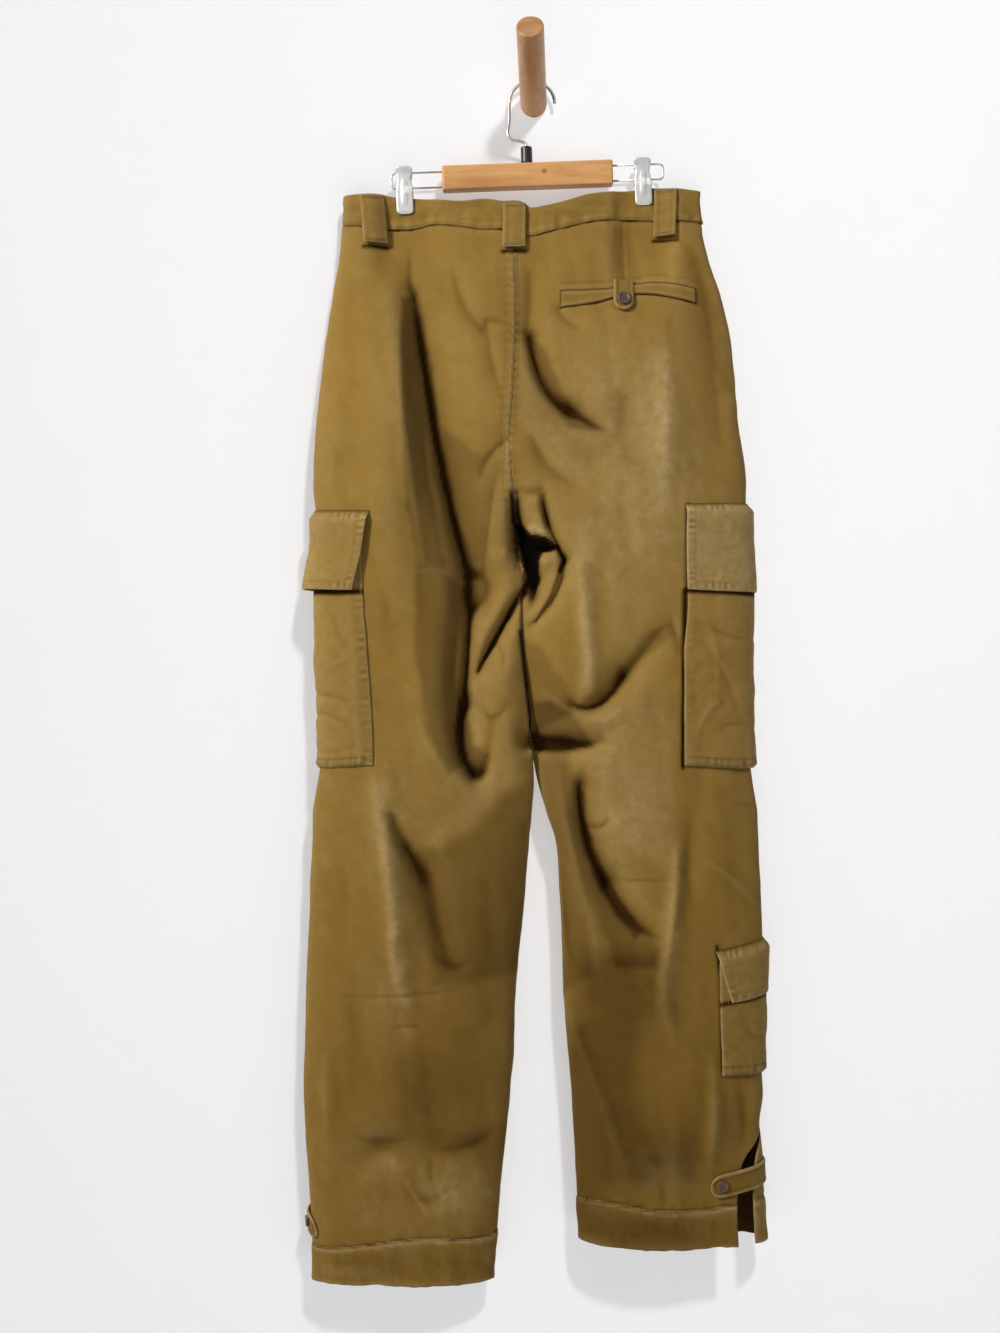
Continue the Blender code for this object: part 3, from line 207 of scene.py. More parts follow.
frontFolds = (
    (-105, -180, -100, -330, -70, -480, -7, 24, 24, 0.3, 0.3, 2),
    (80, -180, 84, -320, 60, -470, -7, 24, 24, 0.3, 0.3, 2),
    (-70, -520, -92, -640, -110, -760, -6, 20, 24, 0.3, 0.2, 2),
    (60, -520, 90, -620, 112, -740, -6, 22, 20, 0.3, 0.2, 2),
    (-150, -800, -128, -900, -120, -1020, -6, 20, 18, 0.2, 0.2, 2),
    (120, -790, 130, -900, 140, -1010, -6, 18, 20, 0.2, 0.2, 2),
)
frontCreases = (
    (-98, -160, -94, -240, -92, -330, -6, 9, 16, 0.4, 0.5, 1.25),   # pleat falls
    (74, -160, 76, -250, 80, -350, -5, 14, 9, 0.4, 0.5, 1.25),
    (-60, -190, -48, -250, -30, -300, -2.5, 9, 8, 0.3, 0.3, 1.3),
    (28, -330, 44, -372, 70, -400, -3.5, 9, 8, 0.4, 0.3, 1.25),
    (-34, -430, -58, -462, -96, -482, -4.5, 9, 8, 0.9, 0.2, 1.2),   # drag lines from the crotch
    (-30, -462, -60, -510, -88, -572, -5, 7, 11, 0.9, 0.2, 1.2),
    (-24, -480, -38, -560, -52, -640, -4, 7, 10, 0.8, 0.2, 1.25),
    (8, -430, 40, -470, 92, -490, -4.5, 8, 9, 0.9, 0.2, 1.2),
    (6, -470, 36, -540, 74, -600, -5, 9, 7, 0.9, 0.2, 1.2),
    (10, -500, 22, -580, 30, -660, -3.5, 9, 7, 0.7, 0.2, 1.25),
    (-128, -560, -138, -660, -132, -760, 3, 12, 14, 0.2, 0.3, 1.4),
    (128, -560, 138, -650, 134, -750, 3, 14, 12, 0.2, 0.3, 1.4),
    (-60, -700, -96, -730, -150, -742, -4, 9, 10, 0.4, 0.3, 1.25),   # knee breaks
    (-50, -760, -88, -796, -140, -802, -3, 9, 9, 0.3, 0.3, 1.25),
    (62, -690, 108, -722, 160, -730, -4, 9, 10, 0.4, 0.3, 1.25),
    (60, -756, 104, -780, 150, -772, -3, 9, 9, 0.3, 0.3, 1.25),
    (-150, -830, -146, -930, -152, -1030, 3, 11, 10, 0.3, 0.3, 1.35),
    (-84, -850, -92, -960, -86, -1060, 2, 10, 10, 0.3, 0.3, 1.4),
    (126, -820, 122, -930, 130, -1030, 3, 11, 10, 0.3, 0.3, 1.35),
    (186, -860, 182, -940, 188, -1010, 2, 9, 9, 0.3, 0.3, 1.4),
    (-190, -991, -130, -988, -70, -992, -0.9, 1.8, 1.8, 0.3, 0.3, 1.3),
    (70, -964, 130, -968, 190, -962, -0.9, 1.8, 1.8, 0.3, 0.3, 1.3),
    (-170, -1110, -130, -1098, -90, -1112, -2, 9, 9, 0.3, 0.3, 1.4),
    (80, -1080, 120, -1070, 160, -1084, -2, 9, 9, 0.3, 0.3, 1.4),
)

waistColumns = ("x", "top", "seam")
waistRows = (
    (-191, -101, -132), (-159, -99, -134.5), (-140, -102, -135), (-122, -103, -134.5),
    (-102, -105, -131), (-76, -107, -133.5), (-50, -105, -137), (-34, -107, -137),
    (-10, -109, -142), (-3, -114, -144), (14, -111, -140), (33, -106.5, -135), (52, -101, -130),
    (79, -97, -126.5), (103, -94.5, -125.5), (119, -92, -126), (144, -93.5, -127.5),
    (168, -96, -129),
)
ventColumns = ("z", "leftBack", "rightBack", "leftFront", "rightFront")
ventRows = (
    (-1030, 0, 0, 0, 0), (-1045, 1, 10, 0, 5), (-1060, 2, 26, 0, 14), (-1092, 2.4, 37, 0, 20),
    (-1145, 2.4, 43, 0, 24), (-1200, 2.4, 43, 0, 24),
)
hemSeamRows = (          # height of the hem's stitching across each leg
    (-226, -1151), (-207, -1152), (-170, -1148), (-140, -1143.5), (-105, -1140.5), (-75, -1142),
    (-49, -1143), (-37, -1139), (30, -1103), (45, -1104), (65, -1103.5), (91, -1106), (126, -1110.5),
    (153, -1110.5), (189, -1107), (233, -1104),
)


def smoothCurve(at, places, values):
    places = np.asarray(places, dtype=float)
    values = np.asarray(values, dtype=float)
    steps = np.diff(places)
    slopes = np.diff(values) / steps
    tangents = np.zeros_like(values)
    tangents[0] = slopes[0]
    tangents[-1] = slopes[-1]
    same = slopes[:-1] * slopes[1:] > 0
    weighted = (slopes[:-1] * steps[1:] + slopes[1:] * steps[:-1]) / (steps[:-1] + steps[1:])
    tangents[1:-1] = np.where(same, weighted, 0.0)
    at = np.clip(np.asarray(at, dtype=float), places[0], places[-1])
    index = np.clip(np.searchsorted(places, at, side="right") - 1, 0, len(steps) - 1)
    step = steps[index]
    share = (at - places[index]) / step
    square = share * share
    cube = square * share
    return ((2 * cube - 3 * square + 1) * values[index]
            + (cube - 2 * square + share) * step * tangents[index]
            + (3 * square - 2 * cube) * values[index + 1]
            + (cube - square) * step * tangents[index + 1])


def tableAt(rows, columns, name, key, at):
    places = np.array([row[columns.index(key)] for row in rows], dtype=float)
    values = np.array([row[columns.index(name)] for row in rows], dtype=float)
    order = np.argsort(places)
    return smoothCurve(at, places[order], values[order])


def smoothStep(low, high, value):
    share = np.clip((value - low) / (high - low), 0.0, 1.0)
    return share * share * (3 - 2 * share)


# 1 where the gap is 0, falling away over the given half width
def bell(gap, wide):
    return np.exp(-(gap / wide) ** 2)


# bumps across a gap, each a row of rise, place and half width
def bumps(gap, *rows):
    return sum(rise * bell(gap - place, wide) for rise, place, wide in rows)


# a climb from 0 at the start to the amount one span further
def climb(value, start, span, amount):
    return np.clip((value - start) / span, 0, 1) * amount


# smooth seeded noise from -1 to 1 with bumps of about the given size
def softNoise(u, v, size, seed):
    lattice = np.random.default_rng(seed).uniform(-1, 1, (97, 97))
    a = np.asarray(u, float) / size + 31.7
    b = np.asarray(v, float) / size + 17.3
    i = np.floor(a).astype(int)
    j = np.floor(b).astype(int)
    f = a - i
    g = b - j
    f = f * f * f * (f * (6 * f - 15) + 10)
    g = g * g * g * (g * (6 * g - 15) + 10)
    low = lattice[i % 97, j % 97] * (1 - f) + lattice[(i + 1) % 97, j % 97] * f
    high = lattice[i % 97, (j + 1) % 97] * (1 - f) + lattice[(i + 1) % 97, (j + 1) % 97] * f
    return low * (1 - g) + high * g


def sectionAt(half, z):
    read = {name: tableAt(sectionRows, sectionColumns, name, "z", z)
            for name in ("rear", "mid", "lean", "shut", "round")}
    for name in ("Out", "In", "Deep"):
        read[name] = tableAt(sectionRows, sectionColumns, half + name, "z", z)
    outward = -1.0 if half == "left" else 1.0
    # the legs lap a little under the crotch, and part lower down
    apart = 1 - smoothStep(*form["lapEnds"], z)
    crotchGap = form["crotchLap"] + (form["crotchGap"] - form["crotchLap"]) * apart
    read["In"] = read["In"] + outward * (form["seamGap"] / 2 + crotchGap * read["shut"])
    read["outward"] = outward
    return read


def outlineAt(section, turn):
    angle = (turn - 0.5) * math.pi
    sine = np.sin(angle)
    flat = form["flatShare"]
    width = np.where(angle < 0, flat * (1 + sine), flat + (1 - flat) * sine)
    open2 = (1 - section["shut"]) ** 2
    inner = np.sqrt(open2 + (1 - open2) * np.cos(angle) ** 2)
    power = section["round"]
    outer = np.clip(1 - np.clip(sine, 0, 1) ** power, 0, 1) ** (1 / power)
    return width, np.where(angle < 0, inner, outer)


def foldAt(folds, x, z):
    total = np.zeros(x.size)
    flatX = x.ravel()
    flatZ = z.ravel()
    for row in folds:
        fold = dict(zip(foldColumns, row))
        start, middle, end = np.array(row[:6], dtype=float).reshape(3, 2)
        control = 2 * middle - (start + end) / 2
        steps = np.linspace(0, 1, form["foldSteps"])[:, None]
        path = start * (1 - steps) ** 2 + 2 * control * steps * (1 - steps) + end * steps ** 2
        reach = max(fold["leftWide"], fold["rightWide"]) * form["foldReach"]
        near = np.flatnonzero((flatX > path[:, 0].min() - reach) & (flatX < path[:, 0].max() + reach)
                              & (flatZ > path[:, 1].min() - reach) & (flatZ < path[:, 1].max() + reach))
        if not len(near):
            continue
        px = flatX[near]
        pz = flatZ[near]
        best = np.full(px.shape, form["far"])
        side = np.zeros_like(px)
        along = np.zeros_like(px)
        for index in range(len(path) - 1):
            run = path[index + 1] - path[index]
            length2 = run @ run
            dx = px - path[index][0]
            dz = pz - path[index][1]
            share = np.clip((dx * run[0] + dz * run[1]) / length2, 0, 1)
            distance = np.hypot(dx - share * run[0], dz - share * run[1])
            nearer = distance < best
            best = np.where(nearer, distance, best)
            side = np.where(nearer, (dx * run[1] - dz * run[0]) / math.sqrt(length2), side)
            along = np.where(nearer, (index + share) / (len(path) - 1), along)
        lean = np.clip(side / (best + 1e-6), -1, 1)
        wide = fold["leftWide"] * (0.5 + 0.5 * lean) + fold["rightWide"] * (0.5 - 0.5 * lean)
        ends = np.where(along < 0.5, fold["startShare"], fold["endShare"])
        swell = ends + (1 - ends) * np.sin(math.pi * along)
        total[near] += fold["rise"] * swell * np.exp(-(best / wide) ** fold["sharp"])
    return total.reshape(x.shape)


def clipHold(x, z):
    hold = np.zeros_like(x)
    for centre in form["clipCentres"]:
        hold = np.maximum(hold, np.exp(-((x - centre) / form["clipSpread"]) ** 4))
    return hold * smoothStep(*form["clipReach"], z)


# unevenness from rows of amount, what u and v take of x and z, size of the bumps and seed
def uneven(rows, x, z, shift=0):
    total = 0.0
    for amount, uX, uZ, vX, vZ, size, seed in rows:
        total = total + amount * softNoise(uX * x + uZ * z, vX * x + vZ * z, size, seed + shift)
    return total


# the soft unevenness of washed twill that has hung for a while
waveRows = ((0.42, 1, 0.10, 0, 0.16, 13, 0), (1.1, 1, 0, 0, 1, 58, 1), (0.42, 1, 0, 0, 1, 26, 2),
            (0.06, 1, 0, 0, 1, 9, 3), (0.03, 1, 0, 0, 0.8, 4.6, 4))


# turn runs from 0 at the inner edge over 1 at the side seam to 2, the inner edge in front
def surfaceAt(half, turn, z):
    section = sectionAt(half, z)
    back = turn <= 1
    width, depth = outlineAt(section, np.where(back, turn, 2 - turn))
    x = section["In"] + (section["Out"] - section["In"]) * width
    mask = smoothStep(*form["foldFrom"], depth)
    near = smoothStep(*form["creaseFrom"], depth)
    hold = clipHold(x, z)
    lift = np.zeros_like(x)
    if np.any(back):
        rise = foldAt(backFolds, x, z) * mask * form["foldGain"]
        rise = rise + foldAt(backCreases, x, z) * near * form["creaseGain"]
        calm = 1 - form["waveLost"] * smoothStep(*form["waveEnds"], z)
        rise = rise + uneven(waveRows, x, z, 3) * near * calm
        least = form["backFloor"][0] - form["backFloor"][1] * section["rear"] * depth
        lift = np.where(back, np.maximum(section["Deep"] * depth + rise, least), lift)
    if np.any(~back):
        rise = foldAt(frontFolds, x, z) * mask
        rise = rise + foldAt(frontCreases, x, z) * near * form["frontCreaseGain"]
        rise = rise + uneven(waveRows, x, z, 41) * near
        least = form["frontFloor"][0] - form["frontFloor"][1] * section["Deep"] * depth
        lift = np.where(back, lift, np.maximum(section["rear"] * depth + rise, least))
    lift = lift * (1 - hold) + form["clipHalfGap"] * hold
    middle = section["mid"] + section["outward"] * section["lean"] * (1 - width)
    y = middle + np.where(back, -lift, lift)
    return np.stack((x, y, z), axis=-1)


def frameAt(half, turn, z):
    turn, z = np.broadcast_arrays(np.asarray(turn, float), np.asarray(z, float))
    closed = sectionAt(half, z)["shut"] > form["closed"]
    low, high = (np.where(closed, (turn + step) % 2, np.clip(turn + step, 0, 2))
                 for step in (-form["stepTurn"], form["stepTurn"]))
    across = surfaceAt(half, high, z) - surfaceAt(half, low, z)
    down = surfaceAt(half, turn, z - form["stepDown"]) - surfaceAt(half, turn, z + form["stepDown"])
    normal = np.cross(across, down)
    if half == "right":
        normal = -normal
    normal /= np.linalg.norm(normal, axis=-1, keepdims=True)
    return surfaceAt(half, turn, z), normal


def makeTurnTable(half):
    heights = np.linspace(form["turnLow"], form["turnHigh"], form["turnHeights"])
    turns = np.linspace(0, 1, form["turnTurns"])
    section = sectionAt(half, heights[:, None])
    width, depth = outlineAt(section, np.broadcast_to(turns, (len(heights), len(turns))))
    x = section["In"] + (section["Out"] - section["In"]) * width
    tables = []
    for lift in (section["Deep"], section["rear"]):
        lengths = np.hypot(np.diff(x, axis=1), np.diff(lift * depth, axis=1))
        run = np.concatenate((np.zeros((len(heights), 1)), np.cumsum(lengths, axis=1)), axis=1)
        shares = np.linspace(0, 1, form["turnShares"])
        tables.append((np.array([np.interp(shares, row / row[-1], turns) for row in run]), run[:, -1]))
    return heights, tables


turnTables = {half: makeTurnTable(half) for half in ("left", "right")}


# the turn at a distance from the side seam, above 0 on the back
def turnAt(half, fromSide, z):
    fromSide, z = np.broadcast_arrays(np.asarray(fromSide, float), np.asarray(z, float))
    heights, tables = turnTables[half]
    row = np.clip((z - heights[0]) / (heights[1] - heights[0]), 0, len(heights) - 1.001)
    low = row.astype(int)
    part = row - low
    result = []
    for table, lengths in tables:
        length = lengths[low] * (1 - part) + lengths[low + 1] * part
        share = np.clip(1 - np.abs(fromSide) / length, 0, 1) * (form["turnShares"] - 1)
        left = np.minimum(share.astype(int), form["turnShares"] - 2)
        rest = share - left
        upper = table[low, left] * (1 - rest) + table[low, left + 1] * rest
        lower = table[low + 1, left] * (1 - rest) + table[low + 1, left + 1] * rest
        result.append(upper * (1 - part) + lower * part)
    return np.where(fromSide >= 0, result[0], 2 - result[1])


def layerLength(half, z, layer):
    heights, tables = turnTables[half]
    return np.interp(z, heights, tables[layer][1])


def turnAtX(half, x, z):
    section = sectionAt(half, np.asarray(z, float))
    width = np.clip((x - section["In"]) / (section["Out"] - section["In"]), 0, 1)
    flat = form["flatShare"]
    inner = np.arcsin(np.clip(width / flat - 1, -1, 1))
    outer = np.arcsin(np.clip((width - flat) / (1 - flat), 0, 1))
    return np.where(width < flat, inner, outer) / math.pi + 0.5


def waistTop(x):
    return tableAt(waistRows, waistColumns, "top", "x", x)


def waistSeam(x):
    return tableAt(waistRows, waistColumns, "seam", "x", x)


def hemSeam(x):
    return tableAt(hemSeamRows, ("x", "z"), "z", "x", x)


# painted shade in the creases and down the legs: x, z, half sizes, amount
shadePatches = (
    (88, -880, 34, 30, 0.25), (62, -920, 32, 60, 0.45), (112, -905, 28, 36, 0.34),
    (70, -1000, 44, 80, 0.62), (98, -1062, 52, 34, 0.5), (150, -1060, 13, 50, 0.25),
    (36, -1080, 26, 70, 0.4), (95, -1130, 95, 20, 0.55), (165, -1000, 20, 60, 0.2),
    (-60, -900, 30, 80, 0.3), (-115, -985, 30, 56, 0.3), (-95, -1042, 66, 14, 0.26),
    (-50, -1050, 22, 16, 0.3), (-120, -1165, 110, 16, 0.28), (-80, -1000, 50, 45, 0.2),
    (-180, -960, 14, 60, 0.15), (-178, -640, 14, 80, 0.12), (190, -760, 14, 70, 0.16),
    (150, -700, 16, 50, 0.12), (8, -330, 22, 30, 0.1), (-142, -500, 30, 80, 0.1),
    (110, -620, 40, 30, 0.1), (-40, -250, 20, 50, 0.14),
)
# lighter patches, partly wear and partly painted light: x, z, half sizes, amount
wearAndLightPatches = (
    (-78, -1098, 30, 26, 0.38), (128, -1070, 26, 17, 0.5), (-150, -1120, 30, 14, 0.15),
    (95, -345, 50, 65, 0.36), (85, -480, 36, 70, 0.26), (150, -430, 26, 80, 0.25),
    (-130, -330, 26, 80, 0.08), (-142, -720, 40, 60, 0.2), (-142, -900, 26, 60, 0.14),
    (133, -830, 10, 70, 0.22), (92, -715, 34, 50, 0.22), (-150, -1060, 36, 30, 0.16),
    (80, -285, 50, 40, 0.22), (100, -420, 60, 60, 0.12),
)
# painted shade in zones: softness of the edge, amount, then the corners of the patch
shadeZones = (
    (3.0, 0.42, (-133, -205), (-131, -320), (-128, -400), (-116, -480), (-88, -480), (-104, -400),
     (-112, -300), (-122, -205)),
    (3.0, 0.34, (-122, -190), (-112, -270), (-107, -340), (-101, -390), (-88, -440), (-77, -490),
     (-54, -488), (-66, -455), (-83, -410), (-94, -350), (-101, -280), (-116, -200)),
    (3.5, 0.40, (-116, -482), (-118, -560), (-104, -640), (-86, -682), (-70, -672), (-74, -620),
     (-67, -560), (-64, -500), (-88, -482)),
    (2.5, 0.45, (-76, -605), (-76, -650), (-67, -679), (-56, -684), (-45, -662), (-60, -652),
     (-67, -618)),
    (4.0, 0.27, (-92, -335), (-52, -368), (-30, -350), (-34, -385), (-45, -420), (-52, -470), (-62, -470),
     (-84, -420)),
    (3.0, 0.38, (-12, -250), (-3, -242), (12, -262), (26, -300), (40, -318), (72, -344), (34, -340),
     (12, -306), (-4, -268)),
    (12.0, 0.16, (62, -300), (94, -305), (100, -380), (60, -356)),
    (4.0, 0.38, (-4, -612), (18, -608), (38, -622), (62, -655), (30, -660), (-2, -659)),
    (3.0, 0.35, (0, -642), (30, -644), (60, -654), (30, -659), (-2, -659)),
    (4.0, 0.3, (-10, -545), (8, -560), (36, -600), (38, -622), (2, -640), (-6, -600)),
    (6.0, 0.34, (2, -665), (34, -664), (40, -740), (52, -800), (58, -880), (28, -900), (22, -760)),
    (5.0, 0.34, (36, -680), (48, -676), (54, -736), (72, -790), (122, -842), (122, -872), (80, -872),
     (56, -800), (44, -745)),
    (3.0, 0.35, (42, -700), (50, -700), (57, -750), (76, -794), (108, -838), (98, -846), (66, -800),
     (50, -760)),
    (8.0, 0.36, (-124, -757), (-90, -752), (-60, -735), (-30, -700), (-8, -690), (-12, -880),
     (-100, -890), (-108, -800)),
    (6.0, 0.26, (148, -150), (163, -160), (186, -230), (196, -300), (184, -300), (172, -230),
     (156, -180)),
    (3.5, 0.34, (66, -598), (90, -568), (112, -540), (135, -532), (138, -545), (105, -568), (82, -600),
     (60, -617), (40, -617), (50, -606)),
    (3.0, 0.3, (-152, -716), (-138, -722), (-122, -756), (-110, -790), (-124, -780), (-140, -745)),
    (2.2, 0.5, (2, -404), (11, -404), (17, -438), (10, -440)),
    (1.6, 2.4, (-21, -434), (-13, -436), (-4, -446), (12, -449), (25, -458), (8, -462), (3, -472),
     (7, -488), (0, -504), (-6, -492), (-13, -466)),
    (5.0, 0.3, (-24, -410), (-14, -410), (-12, -470), (-26, -458)),
)
# painted highlights on the ridges, in the same form as the zones above
paintedHighlightZones = (
    (8.0, 0.26, (40, -430), (56, -430), (60, -590), (46, -600)),
    (8.0, 0.24, (112, -262), (138, -262), (134, -425), (118, -425)),
    (10.0, 0.20, (-153, -690), (-143, -690), (-126, -905), (-137, -905)),
    (8.0, 0.14, (-108, -748), (-60, -698), (-22, -662), (-22, -686), (-60, -730), (-100, -750)),
    (10.0, 0.16, (58, -622), (78, -612), (112, -600), (140, -625), (130, -770), (80, -750), (62, -690)),
    (5.0, 0.16, (-16, -275), (10, -322), (48, -388), (34, -396), (-14, -335)),
    (1.8, 0.6, (-6, -435), (6, -441), (20, -453), (21, -457), (8, -447), (-8, -440)),
    (3.0, 0.22, (-60, -590), (-56, -620), (-50, -650), (-58, -648), (-64, -620)),
)
# painted shadows under the belt loops, beside the pockets and in the crotch folds: half width, amount,
# then places along the line
shadeLines = (
    (1.8, 1.3, (-23, -404), (-21, -430), (-15, -446)), (1.5, 0.9, (-17, -404), (-15, -425), (-11, -440)),
    (2.2, 1.6, (22, -457), (29, -468), (25, -480)), (1.6, 0.8, (25, -480), (16, -506), (1, -531)),
    (2.4, 1.5, (-5, -488), (-14, -506), (-26, -526)), (1.8, 1.3, (-26, -526), (-43, -554), (-56, -580)),
    (1.8, 1.6, (-14, -540), (-10, -580), (-6, -615), (-3, -655)),
    (2.2, 0.4, (40, -613), (52, -617), (66, -612)),
    (1.8, 1.3, (-171, -154.5), (-147, -154.5)), (1.8, 1.4, (-32, -160.5), (-8, -160.5)),
    (1.8, 1.3, (120, -146.5), (144, -146.5)), (1.7, 1.4, (150, -416), (150, -500)),
    (2.2, 1.6, (147.5, -500), (147, -600), (146, -674)),
    (1.8, 1.3, (180, -852), (184, -880), (186, -905)), (1.8, 1.3, (185, -905), (186, -978)),
)


# distance from each place to a path of straight runs
def gapTo(path, x, z):
    gap = np.full(x.shape, form["far"])
    for (startX, startZ), (endX, endZ) in zip(path, path[1:]):
        runX, runZ = endX - startX, endZ - startZ
        share = np.clip(((x - startX) * runX + (z - startZ) * runZ) / (runX * runX + runZ * runZ), 0, 1)
        gap = np.minimum(gap, np.hypot(x - startX - share * runX, z - startZ - share * runZ))
    return gap


# patches of any outline: full inside, gone a little way past the edge
def zonesAt(rows, x, z):
    total = np.zeros(x.size)
    flatX, flatZ = x.ravel(), z.ravel()
    for soft, amount, *corners in rows:
        path = np.array(corners + corners[:1], dtype=float)
        low, high = path.min(axis=0) - 2 * soft, path.max(axis=0) + 2 * soft
        near = np.flatnonzero((flatX > low[0]) & (flatX < high[0]) & (flatZ > low[1]) & (flatZ < high[1]))
        if not len(near):
            continue
        px, pz = flatX[near], flatZ[near]
        inside = np.zeros(px.shape, dtype=bool)
        for (ax, az), (bx, bz) in zip(path, path[1:]):
            if bz != az:
                inside ^= ((az > pz) != (bz > pz)) & (px < (bx - ax) * (pz - az) / (bz - az) + ax)
        gap = gapTo(path, px, pz)
        total[near] += amount * smoothStep(-soft, soft, np.where(inside, gap, -gap))
    return total.reshape(x.shape)


def patchesAt(rows, x, z):
    return sum(amount * np.exp(-((x - centreX) / wide) ** 2 - ((z - centreZ) / tall) ** 2)
               for centreX, centreZ, wide, tall, amount in rows)


def lineShade(rows, x, z):
    return sum(amount * bell(gapTo(path, x, z), width) for width, amount, *path in rows)


creaseDark = {"foldShare": 0.35, "from": 5.0, "span": 11.0, "most": 0.3}


def creaseShade(x, z):
    broad = creaseDark["foldShare"] * foldAt(backFolds, x, z)
    depth = -foldAt(backCreases, x, z) * form["creaseGain"] - broad
    return climb(depth, creaseDark["from"], creaseDark["span"], creaseDark["most"])


# Seams, hems and puckers are an extra rise of the cloth along its normal.
# a bump is its rise, place and half width; unevenness is in rows as uneven() reads them
seams = {
    "washed": ((0.55, 1, 0.3, 0, 0.8, 31, 201), (0.3, 1, 0, 0.5, 1, 14, 202), (0.09, 1, 0, 0, 1, 6, 203)),
    "hemStep": 0.9, "hemSoft": 0.9,      # the turned-up hem is a second layer
    "hemCrinkle": 0.75, "hemReach": 7.0, "crinkleFar": 0.45, "crinkleNear": 0.55,
    "crinkle": ((0.55, 1.25, 0, 0, 0.45, 5.2, 7), (0.6, 0.8, 0.9, 0, 1, 8.5, 8)),
    "aboveHem": ((0.6, 1, 0, 0, 0.3, 5.6, 9),),
    "hemGroove": (-0.75, 0, 1.3), "hemRim": (0.35, 2.0, 2.2),
    "joined": (-492, -470),              # the halves are felled together above these heights
    "feltTop": (-150, -160),
    "feltWide": {"left": 7.0, "right": 2.6}, "feltSoft": 0.8,
    "feltRise": 0.9, "feltTwist": 0.8, "twistPitch": 8.2, "twistSlant": 0.9, "twistLeast": 0.6,
    "twistDrift": ((2.2, 0, 0, 0, 1, 21, 12),), "twistVary": ((0.4, 0, 0, 0, 1, 17, 14),),
    "feltGroove": (-0.7, 0, 1.0), "feltRipple": (0.3, 0, 5.5), "ripplePitch": 9.3,
    "rippleDrift": ((1, 0, 0, 0, 1, 15, 15),),
    "pucker": ((0.4, 1, 0, 0, 0.25, 4.6, 16),), "puckerReach": 7.5, "waistGroove": (-0.5, 0, 1.6),
}
dart = {"x": 88.6, "slant": 0.02, "level": -128, "ends": (-197, -190),
        "groove": (-0.85, 0, 1.1), "ridge": (0.35, 2.6, 2.0)}

weltRows = (
    (25.3, -201, -219.5), (43, -200.5, -217.5), (62, -199.8, -214.4), (75, -199, -211),
    (88, -196.5, -207.5), (103, -194, -205.8), (120, -192.3, -206.5), (143, -194.1, -210.6),
    (161, -197.7, -214),
)
weltColumns = ("x", "top", "bottom")
weltFold = {"starts": (23, 28), "ends": (158, 163), "over": ((0.75, 3.2, 2.6), (-0.5, 7.4, 1.1)),
            "under": (0.45, 2.6, 1.8)}


def weltAt(name, x):
    return tableAt(weltRows, weltColumns, name, "x", x)


def dartAt(z):
    return dart["x"] - dart["slant"] * (z - dart["level"])


# rise of the felled centre seam, with its twist and ripples
def feltAt(half, x, z, inner):
    away = np.abs(x - inner)
    wide = seams["feltWide"][half]
    band = 1 - smoothStep(wide - seams["feltSoft"], wide + seams["feltSoft"], away)
    around = 2 * math.pi
    twist = np.sin((z + seams["twistSlant"] * (x - inner)) * around / seams["twistPitch"]
                   + uneven(seams["twistDrift"], x, z))
    twist = twist * (seams["twistLeast"] + uneven(seams["twistVary"], x, z))
    ripple = np.sin(z * around / seams["ripplePitch"] + uneven(seams["rippleDrift"], x, z))
    rise = band * (seams["feltRise"] + seams["feltTwist"] * twist)
    rise = rise + bumps(away - wide, seams["feltGroove"])
    rise = rise + ripple * bumps(away - wide, seams["feltRipple"])
    return rise * smoothStep(*seams["joined"], z) * smoothStep(*seams["feltTop"], z)


# rise of seams, hem and puckers above the plain cloth
def detailAt(half, layer, z, points):
    x = points[..., 0]
    rise = uneven(seams["washed"], x, z)
    aboveSeam = z - hemSeam(x)
    onHem = 1 - smoothStep(-seams["hemSoft"], seams["hemSoft"], aboveSeam)
    nearSeam = bell(aboveSeam, seams["hemReach"])
    crinkle = uneven(seams["crinkle"], x, z) * (seams["crinkleFar"] + seams["crinkleNear"] * nearSeam)
    rise += onHem * (seams["hemStep"] + seams["hemCrinkle"] * crinkle)
    rise += (1 - onHem) * nearSeam * seams["hemCrinkle"] * uneven(seams["aboveHem"], x, z)
    rise += bumps(aboveSeam, seams["hemGroove"]) + bumps(z - form[half + "Hem"], seams["hemRim"])
    if layer == 0:
        rise += feltAt(half, x, z, sectionAt(half, z)["In"])
    below = waistSeam(x) - z
    rise += uneven(seams["pucker"], x, z, layer) * bell(below, seams["puckerReach"])
    rise += bumps(below, seams["waistGroove"])
    if layer == 0 and half == "right":     # the dart, and the cloth folded over the welt
        rise += smoothStep(*dart["ends"], z) * bumps(x - dartAt(z), dart["groove"], dart["ridge"])
        along = smoothStep(*weltFold["starts"], x) * (1 - smoothStep(*weltFold["ends"], x))
        rise += along * (bumps(z - weltAt("top", x), *weltFold["over"])
                         + bumps(weltAt("bottom", x) - z, weltFold["under"]))
    return rise


# a socket takes a value or the output of another node
def setSockets(tree, made, sockets):
    for slot, value in sockets.items():
        if hasattr(value, "is_linked"):
            tree.links.new(value, made.inputs[slot])
        else:
            made.inputs[slot].default_value = value


def node(tree, kind, sockets=None, **settings):
    made = tree.nodes.new(kind)
    for key, value in settings.items():
        setattr(made, key, value)
    setSockets(tree, made, sockets or {})
    return made


def startMaterial(name, roughness):
    made = bpy.data.materials.new(name)
    made.use_nodes = True
    tree = made.node_tree
    shader = tree.nodes["Principled BSDF"]
    shader.inputs["Roughness"].default_value = roughness
    return made, tree, shader, node(tree, "ShaderNodeTexCoord").outputs["Object"]


def shaded(colour, gain):
    return tuple(min(1.0, value * gain) for value in colour)


def mixColour(tree, share, first, second, mode="MIX"):
    first, second = (value if hasattr(value, "is_linked") else (*value, 1.0) for value in (first, second))
    return node(tree, "ShaderNodeMix", {0: share, 6: first, 7: second}, data_type="RGBA",
                blend_type=mode).outputs[2]


